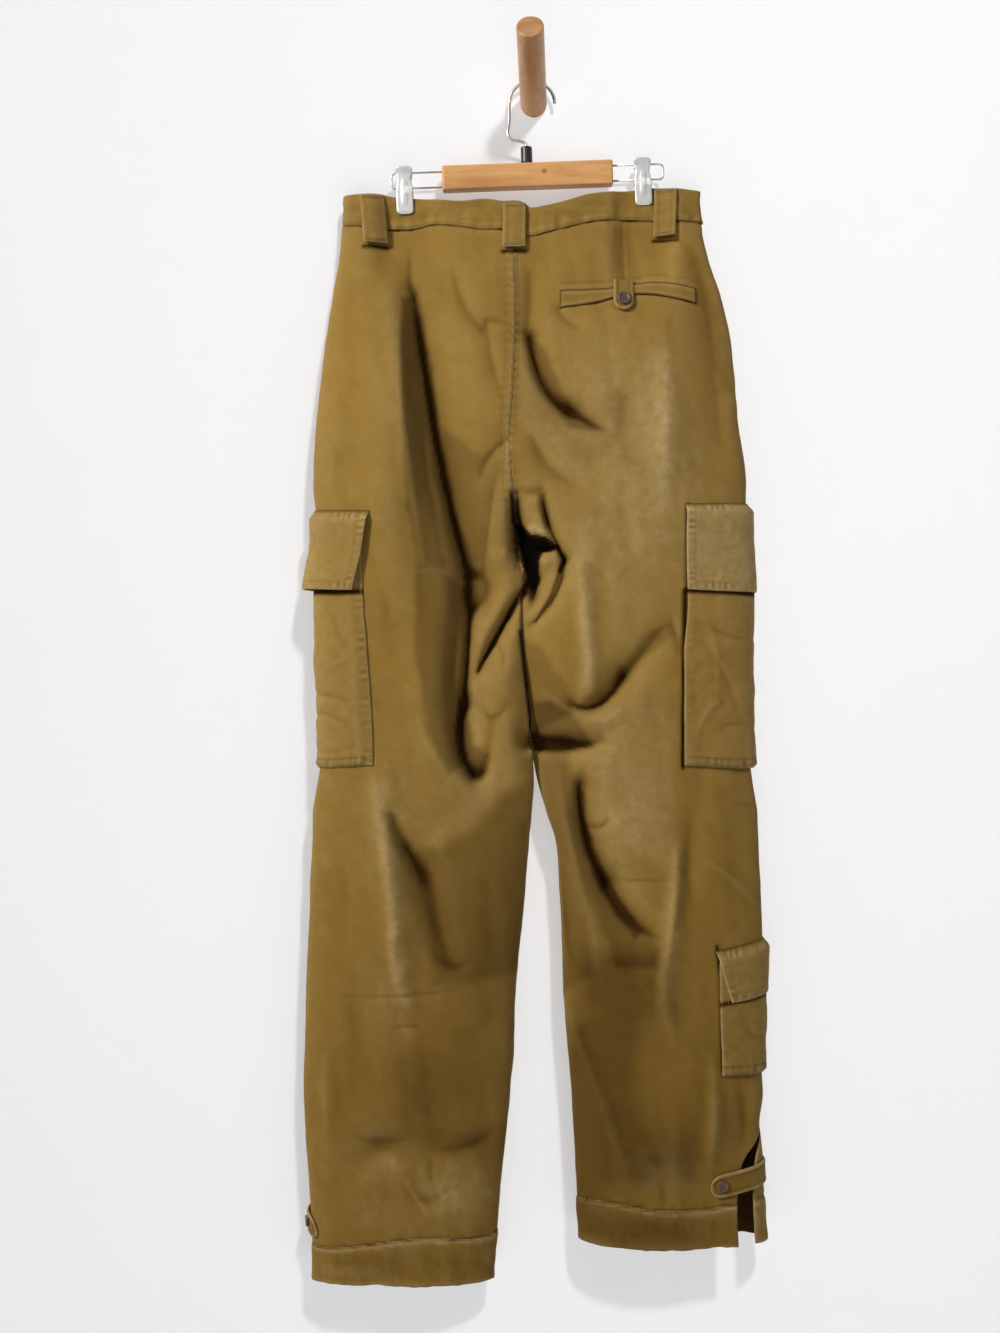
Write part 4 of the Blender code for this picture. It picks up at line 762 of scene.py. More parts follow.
def mathNode(tree, operation, first, second, third=0.0, clamp=False):
    return node(tree, "ShaderNodeMath", {0: first, 1: second, 2: third}, operation=operation,
                use_clamp=clamp).outputs[0]


def times(tree, first, second, clamp=False):
    return mathNode(tree, "MULTIPLY", first, second, clamp=clamp)


def rangeNode(tree, value, low, high, toLow=0.0, toHigh=1.0):
    sockets = {"Value": value, "From Min": low, "From Max": high, "To Min": toLow, "To Max": toHigh}
    return node(tree, "ShaderNodeMapRange", sockets).outputs["Result"]


def noiseNode(tree, vector, scale, detail=3.0, rough=0.55, distortion=0.0):
    sockets = {"Vector": vector, "Scale": scale, "Detail": detail, "Roughness": rough,
               "Distortion": distortion}
    return node(tree, "ShaderNodeTexNoise", sockets).outputs["Fac"]


# noise from a row of scale, detail, roughness and distortion, then the range that it is spread from
def patchNode(tree, vector, row):
    return rangeNode(tree, noiseNode(tree, vector, *row[:4]), *row[4:])


def bumpNode(tree, height, distance, strength=1.0, under=None):
    sockets = {"Height": height, "Distance": distance, "Strength": strength}
    if under is not None:
        sockets["Normal"] = under
    return node(tree, "ShaderNodeBump", sockets).outputs["Normal"]


def stretchNode(tree, place, scale):
    return node(tree, "ShaderNodeMapping", {"Scale": scale, "Vector": place}).outputs[0]


twill = {
    "lit": (0.275, 0.166, 0.036), "dyed": (0.238, 0.138, 0.027),     # the washed face of the cloth
    # the paler colour that wear and painted highlights lighten the cloth towards
    "wearAndLight": (0.50, 0.385, 0.195),
    # painted shade: the colours of deep shade and of near-black shade
    "blackShadeColour": (0.0012, 0.0006, 0.0002), "deep": (0.036, 0.0145, 0.0015),
    # painted shade: darker and yellower down the legs, where less light falls
    "low": (0.130, 0.068, 0.007), "lowFrom": -0.52, "lowTo": -1.02, "lowShare": 0.62,
    "blotch": (11.0, 4.0, 0.6, 0.4, 0.36, 0.66), "blotchShare": 0.55,
    "cloud": (46.0, 5.0, 0.62, 0.6, 0.34, 0.68), "cloudShare": 0.45,
    "speck": (900.0, 3.0, 0.7, 0.0, 0.3, 0.72), "gritGain": 0.16, "gritLeast": 0.92,
    "fray": (120.0, 5.0, 0.6, 0.0, 0.1, 0.72),
    "ribPitch": 0.0009, "ribScale": 0.314, "ribDistortion": 1.2, "ribDetail": 1.0, "ribDetailScale": 2.0,
    "thread": (1500.0, 2.0, 0.6), "crumble": (190.0, 4.0, 0.62, 0.3),
    "ribRise": 0.00016, "threadRise": 0.00010, "crumbleRise": 0.00018,
    "roughness": 0.92, "specular": 0.08, "sheen": 0.06, "sheenRoughness": 0.55,
    "sheenTint": (1.0, 0.86, 0.6, 1.0),
}


def twillMaterial(name, shade=1.0, wearShare=1.0):
    made, tree, shader, place = startMaterial(name, twill["roughness"])
    chart = node(tree, "ShaderNodeUVMap", uv_map="cloth").outputs["UV"]
    wearAndHighlight, hollow = (node(tree, "ShaderNodeAttribute", attribute_name=key).outputs["Fac"]
                    for key in ("wearAndHighlight", "hollow"))
    split = node(tree, "ShaderNodeSeparateXYZ", {0: place})
    dye = mathNode(tree, "ADD", times(tree, patchNode(tree, place, twill["blotch"]),
                                      twill["blotchShare"]),
                   times(tree, patchNode(tree, place, twill["cloud"]), twill["cloudShare"]))
    base = mixColour(tree, dye, shaded(twill["dyed"], shade), shaded(twill["lit"], shade))
    down = rangeNode(tree, split.outputs["Z"], twill["lowFrom"], twill["lowTo"])
    base = mixColour(tree, times(tree, down, twill["lowShare"], True), base, shaded(twill["low"], shade))
    grit = mathNode(tree, "MULTIPLY_ADD", patchNode(tree, chart, twill["speck"]), twill["gritGain"],
                    twill["gritLeast"])
    grey = node(tree, "ShaderNodeCombineColor", {slot: grit for slot in range(3)}).outputs[0]
    base = mixColour(tree, 1.0, base, grey, "MULTIPLY")
    # wear and painted highlights lighten the cloth
    wearAndLight = times(tree, times(tree, wearAndHighlight, patchNode(tree, place, twill["fray"])), wearShare, True)
    base = mixColour(tree, wearAndLight, base, twill["wearAndLight"])
    # painted shade: the cloth darkens towards the shade colour, and towards near black above 1
    inDark = times(tree, hollow, 1.0, True)
    base = mixColour(tree, inDark, base, twill["deep"])
    base = mixColour(tree, mathNode(tree, "SUBTRACT", hollow, 1.0, clamp=True), base, twill["blackShadeColour"])
    # ribs of the twill run up to the right, with the threads' own noise
    ribs = node(tree, "ShaderNodeTexWave",
                {"Scale": twill["ribScale"] / twill["ribPitch"], "Distortion": twill["ribDistortion"],
                 "Detail": twill["ribDetail"], "Detail Scale": twill["ribDetailScale"], "Vector": chart},
                wave_type="BANDS", bands_direction="DIAGONAL").outputs["Fac"]
    relief = bumpNode(tree, noiseNode(tree, place, *twill["crumble"]), twill["crumbleRise"])
    relief = bumpNode(tree, ribs, twill["ribRise"], 1.0, relief)
    relief = bumpNode(tree, noiseNode(tree, chart, *twill["thread"]), twill["threadRise"], 1.0, relief)
    setSockets(tree, shader, {
        "Base Color": base, "Normal": relief, "Sheen Roughness": twill["sheenRoughness"],
        "Sheen Weight": mathNode(tree, "MULTIPLY_ADD", inDark, -twill["sheen"], twill["sheen"]),
        "Sheen Tint": twill["sheenTint"], "Specular IOR Level": twill["specular"]})
    return made


thread = {
    "pale": (0.40, 0.30, 0.155), "dark": (0.085, 0.042, 0.022), "plain": (0.25, 0.165, 0.068),
    "fleck": (900.0, 3.0, 0.7, 0.0, 0.3, 0.7), "fleckShade": 0.6, "rise": 0.0001, "roughness": 0.75,
    "sheen": 0.3,
    "patch": (60.0, 3.0, 0.6, 0.0, 0.35, 0.65), "patchShare": 0.4, "patchShade": 0.45,
}


def threadMaterial(name, colour):
    made, tree, shader, place = startMaterial(name, thread["roughness"])
    fleck = patchNode(tree, place, thread["fleck"])
    patch = times(tree, patchNode(tree, place, thread["patch"]), thread["patchShare"])
    base = mixColour(tree, fleck, shaded(colour, thread["fleckShade"]), colour)
    base = mixColour(tree, patch, base, shaded(colour, thread["patchShade"]))
    setSockets(tree, shader, {"Base Color": base, "Sheen Weight": thread["sheen"],
                             "Normal": bumpNode(tree, fleck, thread["rise"])})
    return made


wood = {
    "bar": {"light": (0.66, 0.345, 0.125), "dark": (0.43, 0.185, 0.055), "along": (0.12, 1.0, 1.0),
            "knotAt": (0.0106, -0.0212, -0.0760)},
    "peg": {"light": (0.50, 0.27, 0.115), "dark": (0.30, 0.13, 0.045), "along": (1.0, 0.10, 1.0),
            "knotAt": (0.0, 0.0, -0.0135)},
    "knot": (0.16, 0.055, 0.015), "knotOuter": 0.0032, "knotInner": 0.0014, "knotShare": 0.7,
    "grain": (60.0, 6.0, 0.62, 0.8), "grainFrom": 0.32, "grainTo": 0.68, "grainRise": 0.00018,
    "grainStrength": 0.7,
    "pores": (320.0, 3.0, 0.7, 0.0, 0.55, 0.72), "poreShare": 0.45, "poreShade": 0.55,
    "broad": (22.0, 3.0, 0.5, 0.3, 0.3, 0.7), "broadShare": 0.3, "broadShade": 1.18,
    "roughness": (0.2, 0.8, 0.36, 0.52), "coat": 0.25, "coatRoughness": 0.3,
}


def woodMaterial(name, kind):
    made, tree, shader, place = startMaterial(name, 0.42)
    tones = wood[kind]
    stretched = stretchNode(tree, place, tones["along"])
    grainNoise = noiseNode(tree, stretched, *wood["grain"])
    pores = times(tree, patchNode(tree, stretched, wood["pores"]), wood["poreShare"])
    broad = times(tree, patchNode(tree, place, wood["broad"]), wood["broadShare"])
    base = mixColour(tree, rangeNode(tree, grainNoise, wood["grainFrom"], wood["grainTo"]), tones["dark"],
                     tones["light"])
    base = mixColour(tree, pores, base, shaded(tones["dark"], wood["poreShade"]))
    base = mixColour(tree, broad, base, shaded(tones["light"], wood["broadShade"]))
    away = node(tree, "ShaderNodeVectorMath", {0: place, 1: tones["knotAt"]},
                operation="DISTANCE").outputs["Value"]
    spot = times(tree, rangeNode(tree, away, wood["knotOuter"], wood["knotInner"]), wood["knotShare"],
                 clamp=True)
    setSockets(tree, shader, {
        "Base Color": mixColour(tree, spot, base, wood["knot"]),
        "Roughness": rangeNode(tree, grainNoise, *wood["roughness"]),
        "Normal": bumpNode(tree, grainNoise, wood["grainRise"], wood["grainStrength"]),
        "Coat Weight": wood["coat"], "Coat Roughness": wood["coatRoughness"]})
    return made


steel = {
    "wire": {"colour": (0.62, 0.61, 0.60), "brush": (1.0, 1.0, 0.1), "roughness": 0.30, "metal": 0.75},
    "plate": {"colour": (0.74, 0.735, 0.73), "brush": (6.0, 6.0, 0.4), "roughness": 0.42, "metal": 0.45},
    "streak": (220.0, 4.0, 0.65), "streakFrom": 0.25, "streakTo": 0.75, "smoother": 0.09, "rougher": 0.14,
    "tarnish": (150.0, 4.0, 0.6, 0.0, 0.4, 0.7), "tarnishShare": 0.5, "tarnishShade": 0.62,
    "rise": 0.00006, "strength": 0.6,
}


def steelMaterial(name, kind):
    look = steel[kind]
    made, tree, shader, place = startMaterial(name, look["roughness"])
    streak = noiseNode(tree, stretchNode(tree, place, look["brush"]), *steel["streak"])
    tarnish = times(tree, patchNode(tree, place, steel["tarnish"]), steel["tarnishShare"])
    setSockets(tree, shader, {
        "Base Color": mixColour(tree, tarnish, look["colour"],
                                shaded(look["colour"], steel["tarnishShade"])),
        "Roughness": rangeNode(tree, streak, steel["streakFrom"], steel["streakTo"],
                               look["roughness"] - steel["smoother"],
                               look["roughness"] + steel["rougher"]),
        "Normal": bumpNode(tree, streak, steel["rise"], steel["strength"]), "Metallic": look["metal"]})
    return made


plastic = {
    "button": {"colour": (0.060, 0.030, 0.016), "roughness": 0.42},
    "collar": {"colour": (0.010, 0.010, 0.011), "roughness": 0.30},
    "swirl": (240.0, 4.0, 0.6, 1.4, 0.35, 0.68), "swirlGain": 1.9, "swirlLift": 0.01,
    "scuff": (700.0, 3.0, 0.6), "scuffFrom": 0.3, "scuffTo": 0.7, "smoother": 0.06, "rougher": 0.12,
    "rise": 0.00005, "strength": 0.5,
}


def plasticMaterial(name, kind):
    look = plastic[kind]
    made, tree, shader, place = startMaterial(name, look["roughness"])
    paler = tuple(min(1.0, value * plastic["swirlGain"] + plastic["swirlLift"])
                  for value in look["colour"])
    scuff = noiseNode(tree, place, *plastic["scuff"])
    setSockets(tree, shader, {
        "Base Color": mixColour(tree, patchNode(tree, place, plastic["swirl"]), look["colour"], paler),
        "Roughness": rangeNode(tree, scuff, plastic["scuffFrom"], plastic["scuffTo"],
                               look["roughness"] - plastic["smoother"],
                               look["roughness"] + plastic["rougher"]),
        "Normal": bumpNode(tree, scuff, plastic["rise"], plastic["strength"])})
    return made


clothMaterial = twillMaterial("washedTwill")
trimMaterial = twillMaterial("washedTwillTrim", 0.93, 1.1)
threads = {kind: threadMaterial(kind + "Thread", thread[kind]) for kind in ("pale", "dark", "plain")}
buttonMaterial = plasticMaterial("buttonPlastic", "button")
collarMaterial = plasticMaterial("collarPlastic", "collar")
wireMaterial = steelMaterial("wireSteel", "wire")
plateMaterial = steelMaterial("plateSteel", "plate")
barMaterial = woodMaterial("barWood", "bar")
pegMaterial = woodMaterial("pegWood", "peg")
print("materials ready")


panelNames = ("back_left", "back_right", "front_left", "front_right")
pieces = {}                       # each with its outer surface for the stitches


def blurred(field, reach):
    result = field.copy()
    for _ in range(reach):
        for axis in (0, 1):
            before = np.roll(result, 1, axis)
            after = np.roll(result, -1, axis)
            if axis == 0:
                before[0] = result[0]
                after[-1] = result[-1]
            else:
                before[:, 0] = result[:, 0]
                after[:, -1] = result[:, -1]
            result = (before + 2 * result + after) / 4
    return result


def runAlong(points, axis):
    steps = np.linalg.norm(np.diff(points, axis=axis), axis=-1)
    return np.insert(np.cumsum(steps, axis=axis), 0, 0.0, axis=axis)


# distance of each point of a grid from the grid's four borders: left, right, top, bottom
def borderDistances(points):
    across = runAlong(points, 1)
    down = runAlong(points, 0)
    return across, across[:, -1:] - across, down, down[-1:] - down


def outwardNormals(points, guess):
    normal = np.cross(np.gradient(points, axis=1), np.gradient(points, axis=0))
    length = np.linalg.norm(normal, axis=-1, keepdims=True)
    normal = normal / np.maximum(length, 1e-9)
    facing = np.sum(normal * guess, axis=-1).mean()
    return normal if facing > 0 else -normal


# start, span and amount of what ridges add as wear and troughs add as painted shade
ridgeWearTroughShade = {
    "fineReach": 5, "broadReach": 60,    # blurs that a ridge or trough is measured against
    "ridgeFine": (0, 0.5, 0.12), "ridgeBroad": (0, 6.0, 0.12),
    "troughFine": (0, 0.5, 0.22), "troughBroad": ((2.0, 7.0, 0.42), (5.5, 4.0, 0.25)),
    # wear is lost where shade is painted, and the insides of the panels get painted shade
    "wearLost": 0.7, "innerShare": 0.4, "innerDark": 0.95,
}


def placeObject(name, data, *materials):
    for material in materials:
        data.materials.append(material)
    item = bpy.data.objects.new(name, data)
    bpy.context.collection.objects.link(item)
    return item


# a closed sheet: the grid is its middle, chart its flat pattern in mm
def clothShell(name, points, normals, low, high, material, chart, wearAndHighlight=None, hollow=None):
    low = np.broadcast_to(np.asarray(low, float), points.shape[:2])
    high = np.broadcast_to(np.asarray(high, float), points.shape[:2])
    rows, columns = points.shape[:2]
    outer = points + normals * high[..., None]
    inner = points + normals * low[..., None]
    # painted shade: troughs of the cloth get a darker colour where shade falls in them, ridges get
    # lighter with wear
    fine, broad = (np.sum((outer - blurred(outer, ridgeWearTroughShade[reach])) * normals, axis=-1)
                   for reach in ("fineReach", "broadReach"))
    ridge = climb(fine, *ridgeWearTroughShade["ridgeFine"]) + climb(broad, *ridgeWearTroughShade["ridgeBroad"])
    trough = climb(-fine, *ridgeWearTroughShade["troughFine"])
    for row in ridgeWearTroughShade["troughBroad"]:
        trough = trough + climb(-broad, *row)
    wearAndHighlight = ridge if wearAndHighlight is None else np.clip(ridge + wearAndHighlight, 0, 1)
    # painted shade: the given dark marks join the trough darkening, and values above 1 paint it near
    # black
    painted = np.zeros_like(trough) if hollow is None else hollow
    hollow = np.clip(trough + np.clip(painted, 0, 1), 0, 1) + np.clip(painted - 1, 0, 1)
    wearAndHighlight = wearAndHighlight * (1 - ridgeWearTroughShade["wearLost"] * np.clip(hollow, 0, 1))
    # painted shade: the insides of the panels are darkened where they lie in shade
    innerDark = ridgeWearTroughShade["innerDark"] if name in panelNames else 0.0
    index = np.arange(rows * columns).reshape(rows, columns)
    count = rows * columns
    a, b, c, d = index[:-1, :-1], index[:-1, 1:], index[1:, 1:], index[1:, :-1]
    front = np.stack((a, b, c, d), axis=-1).reshape(-1, 4)
    back = front[:, ::-1] + count
    loop = np.concatenate((index[0, :-1], index[:-1, -1], index[-1, :0:-1], index[:0:-1, 0]))
    after = np.roll(loop, -1)
    rim = np.stack((loop, loop + count, after + count, after), axis=-1)
    faces = np.concatenate((front, back, rim))
    verts = np.concatenate((outer.reshape(-1, 3), inner.reshape(-1, 3))) * mm
    tri = verts[faces]
    volume = np.einsum("ij,ij->i", tri[:, 0], np.cross(tri[:, 1], tri[:, 2])).sum()
    volume += np.einsum("ij,ij->i", tri[:, 0], np.cross(tri[:, 2], tri[:, 3])).sum()
    if volume < 0:
        faces = faces[:, ::-1]
    data = bpy.data.meshes.new(name)
    data.vertices.add(len(verts))
    data.vertices.foreach_set("co", verts.ravel())
    data.loops.add(faces.size)
    data.loops.foreach_set("vertex_index", faces.ravel().astype(np.int32))
    data.polygons.add(len(faces))
    data.polygons.foreach_set("loop_start", np.arange(0, faces.size, 4, dtype=np.int32))
    data.polygons.foreach_set("use_smooth", np.ones(len(faces), dtype=bool))
    data.update(calc_edges=True)
    data.validate()
    flat = np.concatenate((chart.reshape(-1, 2), chart.reshape(-1, 2))) * mm
    corners = np.zeros(len(data.loops), dtype=np.int32)
    data.loops.foreach_get("vertex_index", corners)
    layer = data.uv_layers.new(name="cloth")
    layer.data.foreach_set("uv", flat[corners].ravel())
    for key, field in (("wearAndHighlight", wearAndHighlight), ("hollow", hollow)):
        within = np.maximum(field.ravel() * ridgeWearTroughShade["innerShare"], innerDark if key == "hollow" else 0.0)
        values = np.concatenate((field.ravel(), within))
        data.attributes.new(key, "FLOAT", "POINT").data.foreach_set("value", values.astype(np.float32))
    area = np.linalg.norm(np.cross(np.gradient(points, axis=1), np.gradient(points, axis=0)),
                          axis=-1).sum()
    pieces[name] = {"object": placeObject(name, data, material), "outer": outer, "area": area * mm * mm,
                    "tris": len(faces) * 2,
                    "wide": runAlong(points, 1)[:, -1].max(), "long": runAlong(points, 0)[-1].max()}


def chartOf(across, z):
    return np.stack(np.broadcast_arrays(across, z), axis=-1)


def gridCount(length, spacing):
    return max(4, int(round(length / (spacing * grain))) + 1)


# pairs are for the back and the front
panel = {
    "across": 235, "spacing": (2.5, 3.7), "down": (2.5, 3.9), "crowding": 0.2, "seamEdge": 0.03,
    "waistReach": 30.0, "hemReach": 22.0,
    "seamRoll": 0.6, "rollWidth": 1.5, "lapWide": 1.2, "lapOver": 0.9, "lapRise": 0.25,
    "hemWave": ((1.0, 1, 0, 0, 0, 16, 60), (0.5, 1, 0, 0, 0, 6, 62)), "rightHemBulge": (-3.0, 120, 42.0),
    "wornSeam": (0.3, 0, 2.0), "wornHem": (0.4, -2.5, 1.8), "wornRim": (0.4, 0, 1.6),
    "wornTurnup": 0.12, "turnupPatches": ((1, 1, 0, 0, 2.2, 26, 31),), "turnupRange": (0.1, 0.7),
    "darkSeam": (0.16, 0, 0.9), "darkHem": (0.55, 0, 1.1), "darkTop": (0.35, 0, 1.2),
    "ragged": ((0.3, 1, 0, 0, 1, 26, 66),), "waver": ((1.2, 1, 0, 0, 1, 13, 68),),
    "darkMost": 0.6, "wearLightLeast": 0.65, "wearLightMore": 0.5, "wearLightNoise": ((1, 1, 0, 0, 1, 12, 67),),
}
panelRows = (
    ("back_left", "left", 0), ("back_right", "right", 0),
    ("front_left", "left", 1), ("front_right", "right", 1),
)


def hemDrop(half, x, layer):
    bulge = bumps(x, panel["rightHemBulge"]) if half == "right" else 0.0
    return uneven(panel["hemWave"], x, x, layer) + bulge


def panelGrid(half, layer, columns, rows):
    hem = form[half + "Hem"]
    levels = np.linspace(form["seamLevel"], hem, rows)[:, None]
    even = np.linspace(0, 1, columns)[None, :]
    shares = even * (1 - panel["crowding"]) + panel["crowding"] * (0.5 - 0.5 * np.cos(math.pi * even))
    length = layerLength(half, levels, layer)
    shut = tableAt(sectionRows, sectionColumns, "shut", "z", levels)
    vent = tableAt(ventRows, ventColumns, half + ("Front" if layer else "Back"), "z", levels)
    edge = panel["seamEdge"] + (-vent if layer else vent)
    distance = edge + (length - edge - shut * form["seamGap"] / 2) * (1 - shares)
    distance = -distance if layer else distance
    turn = turnAt(half, distance, levels)
    x = surfaceAt(half, turn, levels + 0 * turn)[..., 0]
    toSeam = waistSeam(x) - form["seamGap"] / 2 - form["seamLevel"]
    z = levels + toSeam * np.exp(-(form["seamLevel"] - levels) / panel["waistReach"])
    z = z + hemDrop(half, x, layer) * np.exp(-(levels - hem) / panel["hemReach"])
    return turn, z, distance


for name, half, layer in panelRows:
    turn, z, distance = panelGrid(half, layer, gridCount(panel["across"], panel["spacing"][layer]),
                                  gridCount(form["seamLevel"] - form[half + "Hem"], panel["down"][layer]))
    points, normals = frameAt(half, turn, z)
    left, right, top, bottom = borderDistances(points)
    joined = smoothStep(*seams["joined"], z) if layer == 0 else 0 * z
    nearLeft, nearRight = (bell(side, panel["rollWidth"]) for side in (left, right))
    roll = panel["seamRoll"] * ((1 - joined) * nearLeft + nearRight)
    rise = detailAt(half, layer, z, points) - roll
    if name == "back_left":      # the felled seam laps over the right panel
        lap = joined * bell(left, panel["lapWide"])
        points[..., 0] += panel["lapOver"] * lap
        rise = rise + panel["lapRise"] * lap
    points = points + normals * rise[..., None]
    normals = outwardNormals(points, normals)
    x = points[..., 0]
    aside = np.minimum(left, right)
    aboveSeam = z - hemSeam(x)
    wearAndLight = bumps(aside, panel["wornSeam"]) + bumps(aboveSeam, panel["wornHem"])
    wearAndLight = wearAndLight + bumps(bottom, panel["wornRim"])
    turnup = smoothStep(*panel["turnupRange"], uneven(panel["turnupPatches"], x, z))
    wearAndLight = wearAndLight + panel["wornTurnup"] * turnup * (1 - smoothStep(-1, 1, aboveSeam))
    # painted shade along the open seams, the hem's stitching and under the waistband
    dark = (1 - joined) * bumps(aside, panel["darkSeam"])
    dark = dark + bumps(aboveSeam, panel["darkHem"]) + bumps(top, panel["darkTop"])
    if layer == 0:
        ragged = 1.0 + uneven(panel["ragged"], x, z)
        waver = uneven(panel["waver"], x, z)
        # painted shade and painted highlights on the back panels
        dark = dark + creaseShade(x, z) + patchesAt(shadePatches, x, z) * ragged
        dark = np.clip(dark, 0, panel["darkMost"]) + lineShade(shadeLines, x, z)
        dark = dark + zonesAt(shadeZones, x + waver, z + waver)
        wearAndLight = wearAndLight + zonesAt(paintedHighlightZones, x + waver, z + waver)
        # the lighter patches, partly wear and partly painted light, vary at random
        patchy = np.clip(uneven(panel["wearLightNoise"], x, z), 0, 1)
        wearLightStrength = panel["wearLightLeast"] + panel["wearLightMore"] * patchy
        wearAndLight = wearAndLight + patchesAt(wearAndLightPatches, x, z) * wearLightStrength
    clothShell(name, points, normals, -form["cloth"] / 2, form["cloth"] / 2, clothMaterial,
               chartOf(distance, z), wearAndLight, dark)
    print("panel", name, pieces[name]["tris"], round(pieces[name]["area"], 4))


band = {
    "spacing": 1.8, "rows": 22, "thick": 2.4, "edgeRoll": 0.9, "rollDown": 1.2, "rollAcross": 1.0,
    "ripple": ((1.0, 1, 0, 0, 0.3, 7.5, 70),), "rippleReach": 16.0,
    "creases": ((0.7, 0.5, 0, 0, 1.4, 12, 76), (0.6, 1, 0, 0, 1, 15, 72), (0.16, 1, 0, 0, 1, 4, 73),
                (0.35, 0.35, 0, 0, 1, 5.5, 74)),
    "lowGroove": (-0.35, 3.2, 1.1), "topGroove": (-0.35, 2.6, 1.1),
    "wornTop": (0.4, 0, 1.3), "wornLow": (0.15, 5, 2.0), "darkLow": (0.5, 0, 0.9),
    "darkPatches": 0.1, "patchNoise": ((1, 1, 0, 0, 1, 24, 75),), "patchRange": (-0.4, 0.4),
}


def bandGrid(half, layer):
    length = layerLength(half, form["seamLevel"], layer)
    distance = np.linspace(length, form["seamGap"] / 2, gridCount(length, band["spacing"]))
    turns = turnAt(half, -distance if layer else distance, form["seamLevel"])
    x = surfaceAt(half, turns, np.full(turns.shape, form["seamLevel"]))[:, 0]
    shares = np.linspace(0, 1, band["rows"])[:, None]
    z = waistTop(x) * (1 - shares) + (waistSeam(x) + form["seamGap"] / 2) * shares
    return (*frameAt(half, np.broadcast_to(turns, z.shape), z), z)


def bandShell(name, points, normals, z, layer):
    x = points[..., 0]
    left, right, top, bottom = borderDistances(points)
    rise = uneven(band["ripple"], x, z, layer) * bell(bottom, band["rippleReach"])
    creases = uneven(band["creases"], x, z) + bumps(bottom, band["lowGroove"])
    rise += creases + bumps(top, band["topGroove"])
    roll = sum(bell(border, band["rollDown"]) for border in (top, bottom))
    roll += sum(bell(border, band["rollAcross"]) for border in (left, right))
    points = points + normals * rise[..., None]
    half = band["thick"] / 2 - 0.5 * band["edgeRoll"] * np.clip(roll, 0, 1)
    patches = 1 - smoothStep(*band["patchRange"], uneven(band["patchNoise"], x, z))
    # painted shade along the band's lower seam, and darker patches at random
    clothShell(name, points, outwardNormals(points, normals), -half, half, clothMaterial,
               chartOf(runAlong(points, 1), z),
               bumps(top, band["wornTop"]) + bumps(bottom, band["wornLow"]),
               bumps(bottom, band["darkLow"]) + band["darkPatches"] * patches)


leftGrid, rightGrid = bandGrid("left", 0), bandGrid("right", 0)
bandShell("waistband_back", *(np.concatenate((left[:, ::-1], right[:, 1:]), axis=1)
                              for left, right in zip(leftGrid, rightGrid)), 0)
for half in ("left", "right"):
    bandShell("waistband_front_" + half, *bandGrid(half, 1), 1)

loops = {
    "wall": 1.7, "spacing": 1.6, "smoothing": 3, "roundOff": 0.5, "edgeMost": 12.0,
    "wobble": ((0.5, 50, 0, 0, 0, 14, 81),), "tilt": ((0.5, 1, 0, 0, 0, 9, 83),),
    "standAt": (0.0, 0.2, 0.5, 0.8, 1.0), "stand": (2.0, 2.9, 3.2, 3.8, 4.2),
    "edgeRise": 0.18, "turnedIn": (4.5, 6.5), "edge": (-0.6, 0, 0.8),
    "puff": ((0.25, 1, 0, 0, 1, 6, 84), (0.45, 0.3, 0, 0, 1, 6.5, 85)), "tack": (-0.45, 2.5, 1.6),
    "wornEdge": (0.35, 0, 1.6), "wornEnd": (0.4, 0, 2.0), "wearAndLight": 0.05, "dark": (0.05, 5.2, 0.9),
}
loopRows = (
    ("belt_loop_left", 0, -164.0, -159.0, -100.5, -152.0, 25.0),
    ("belt_loop_centre", 0, -20.0, -20.0, -110.0, -158.0, 25.0),
    ("belt_loop_right", 0, 132.5, 132.0, -94.0, -144.0, 24.5),
    ("belt_loop_front_left", 1, -88.0, -88.0, -107.5, -150.0, 25.0),
    ("belt_loop_front_right", 1, 66.0, 66.0, -100.5, -144.0, 25.0),
)


# points and normals at x, z on whichever half they fall
def bothHalves(x, z, layer):
    found = []
    for half in ("left", "right"):
        turn = turnAtX(half, x, z)
        found.append(frameAt(half, 2 - turn if layer else turn, z))
    onLeft = (x < sectionAt("left", z)["In"])[..., None]
    return [np.where(onLeft, left, right) for left, right in zip(*found)]


for name, layer, topX, bottomX, topZ, bottomZ, width in loopRows:
    shares = np.linspace(0, 1, gridCount(topZ - bottomZ, loops["spacing"]))[:, None]
    across = np.linspace(-0.5, 0.5, gridCount(width, loops["spacing"]))[None, :] * width
    x = topX * (1 - shares) + bottomX * shares + across + uneven(loops["wobble"], shares, shares)
    z = np.broadcast_to(topZ * (1 - shares) + bottomZ * shares, x.shape)
    z = z + uneven(loops["tilt"], across, across)
    points, normals = bothHalves(x, z, layer)
    points = blurred(points, loops["smoothing"])
    normals = outwardNormals(points, normals)
    stand = np.interp(shares, loops["standAt"], loops["stand"])
    edge = np.minimum(width / 2 - np.abs(across), loops["edgeMost"])
    end = np.minimum(shares, 1 - shares) * (topZ - bottomZ)
    turned = loops["edgeRise"] * (1 - smoothStep(*loops["turnedIn"], edge)) + bumps(edge, loops["edge"])
    high = stand + loops["wall"] + turned + uneven(loops["puff"], x, z) + bumps(end, loops["tack"])
    high = high - loops["roundOff"] * (edge.max() - edge) / edge.max()
    wearAndLight = bumps(edge, loops["wornEdge"]) + bumps(end, loops["wornEnd"]) + loops["wearAndLight"]
    # painted shade along the stitch lines
    clothShell(name, points, normals, stand, high, trimMaterial, chartOf(x, z), wearAndLight,
               bumps(edge, loops["dark"]))
print("waistband ready")


onCloth = form["cloth"] / 2 + form["standOff"]


# points and normals of a piece laid on the cloth, smoother than the cloth itself
def layOn(half, turn, z, smoothing):
    points, normals = frameAt(half, turn, z)
    points = blurred(points, smoothing)
    return points, outwardNormals(points, normals)


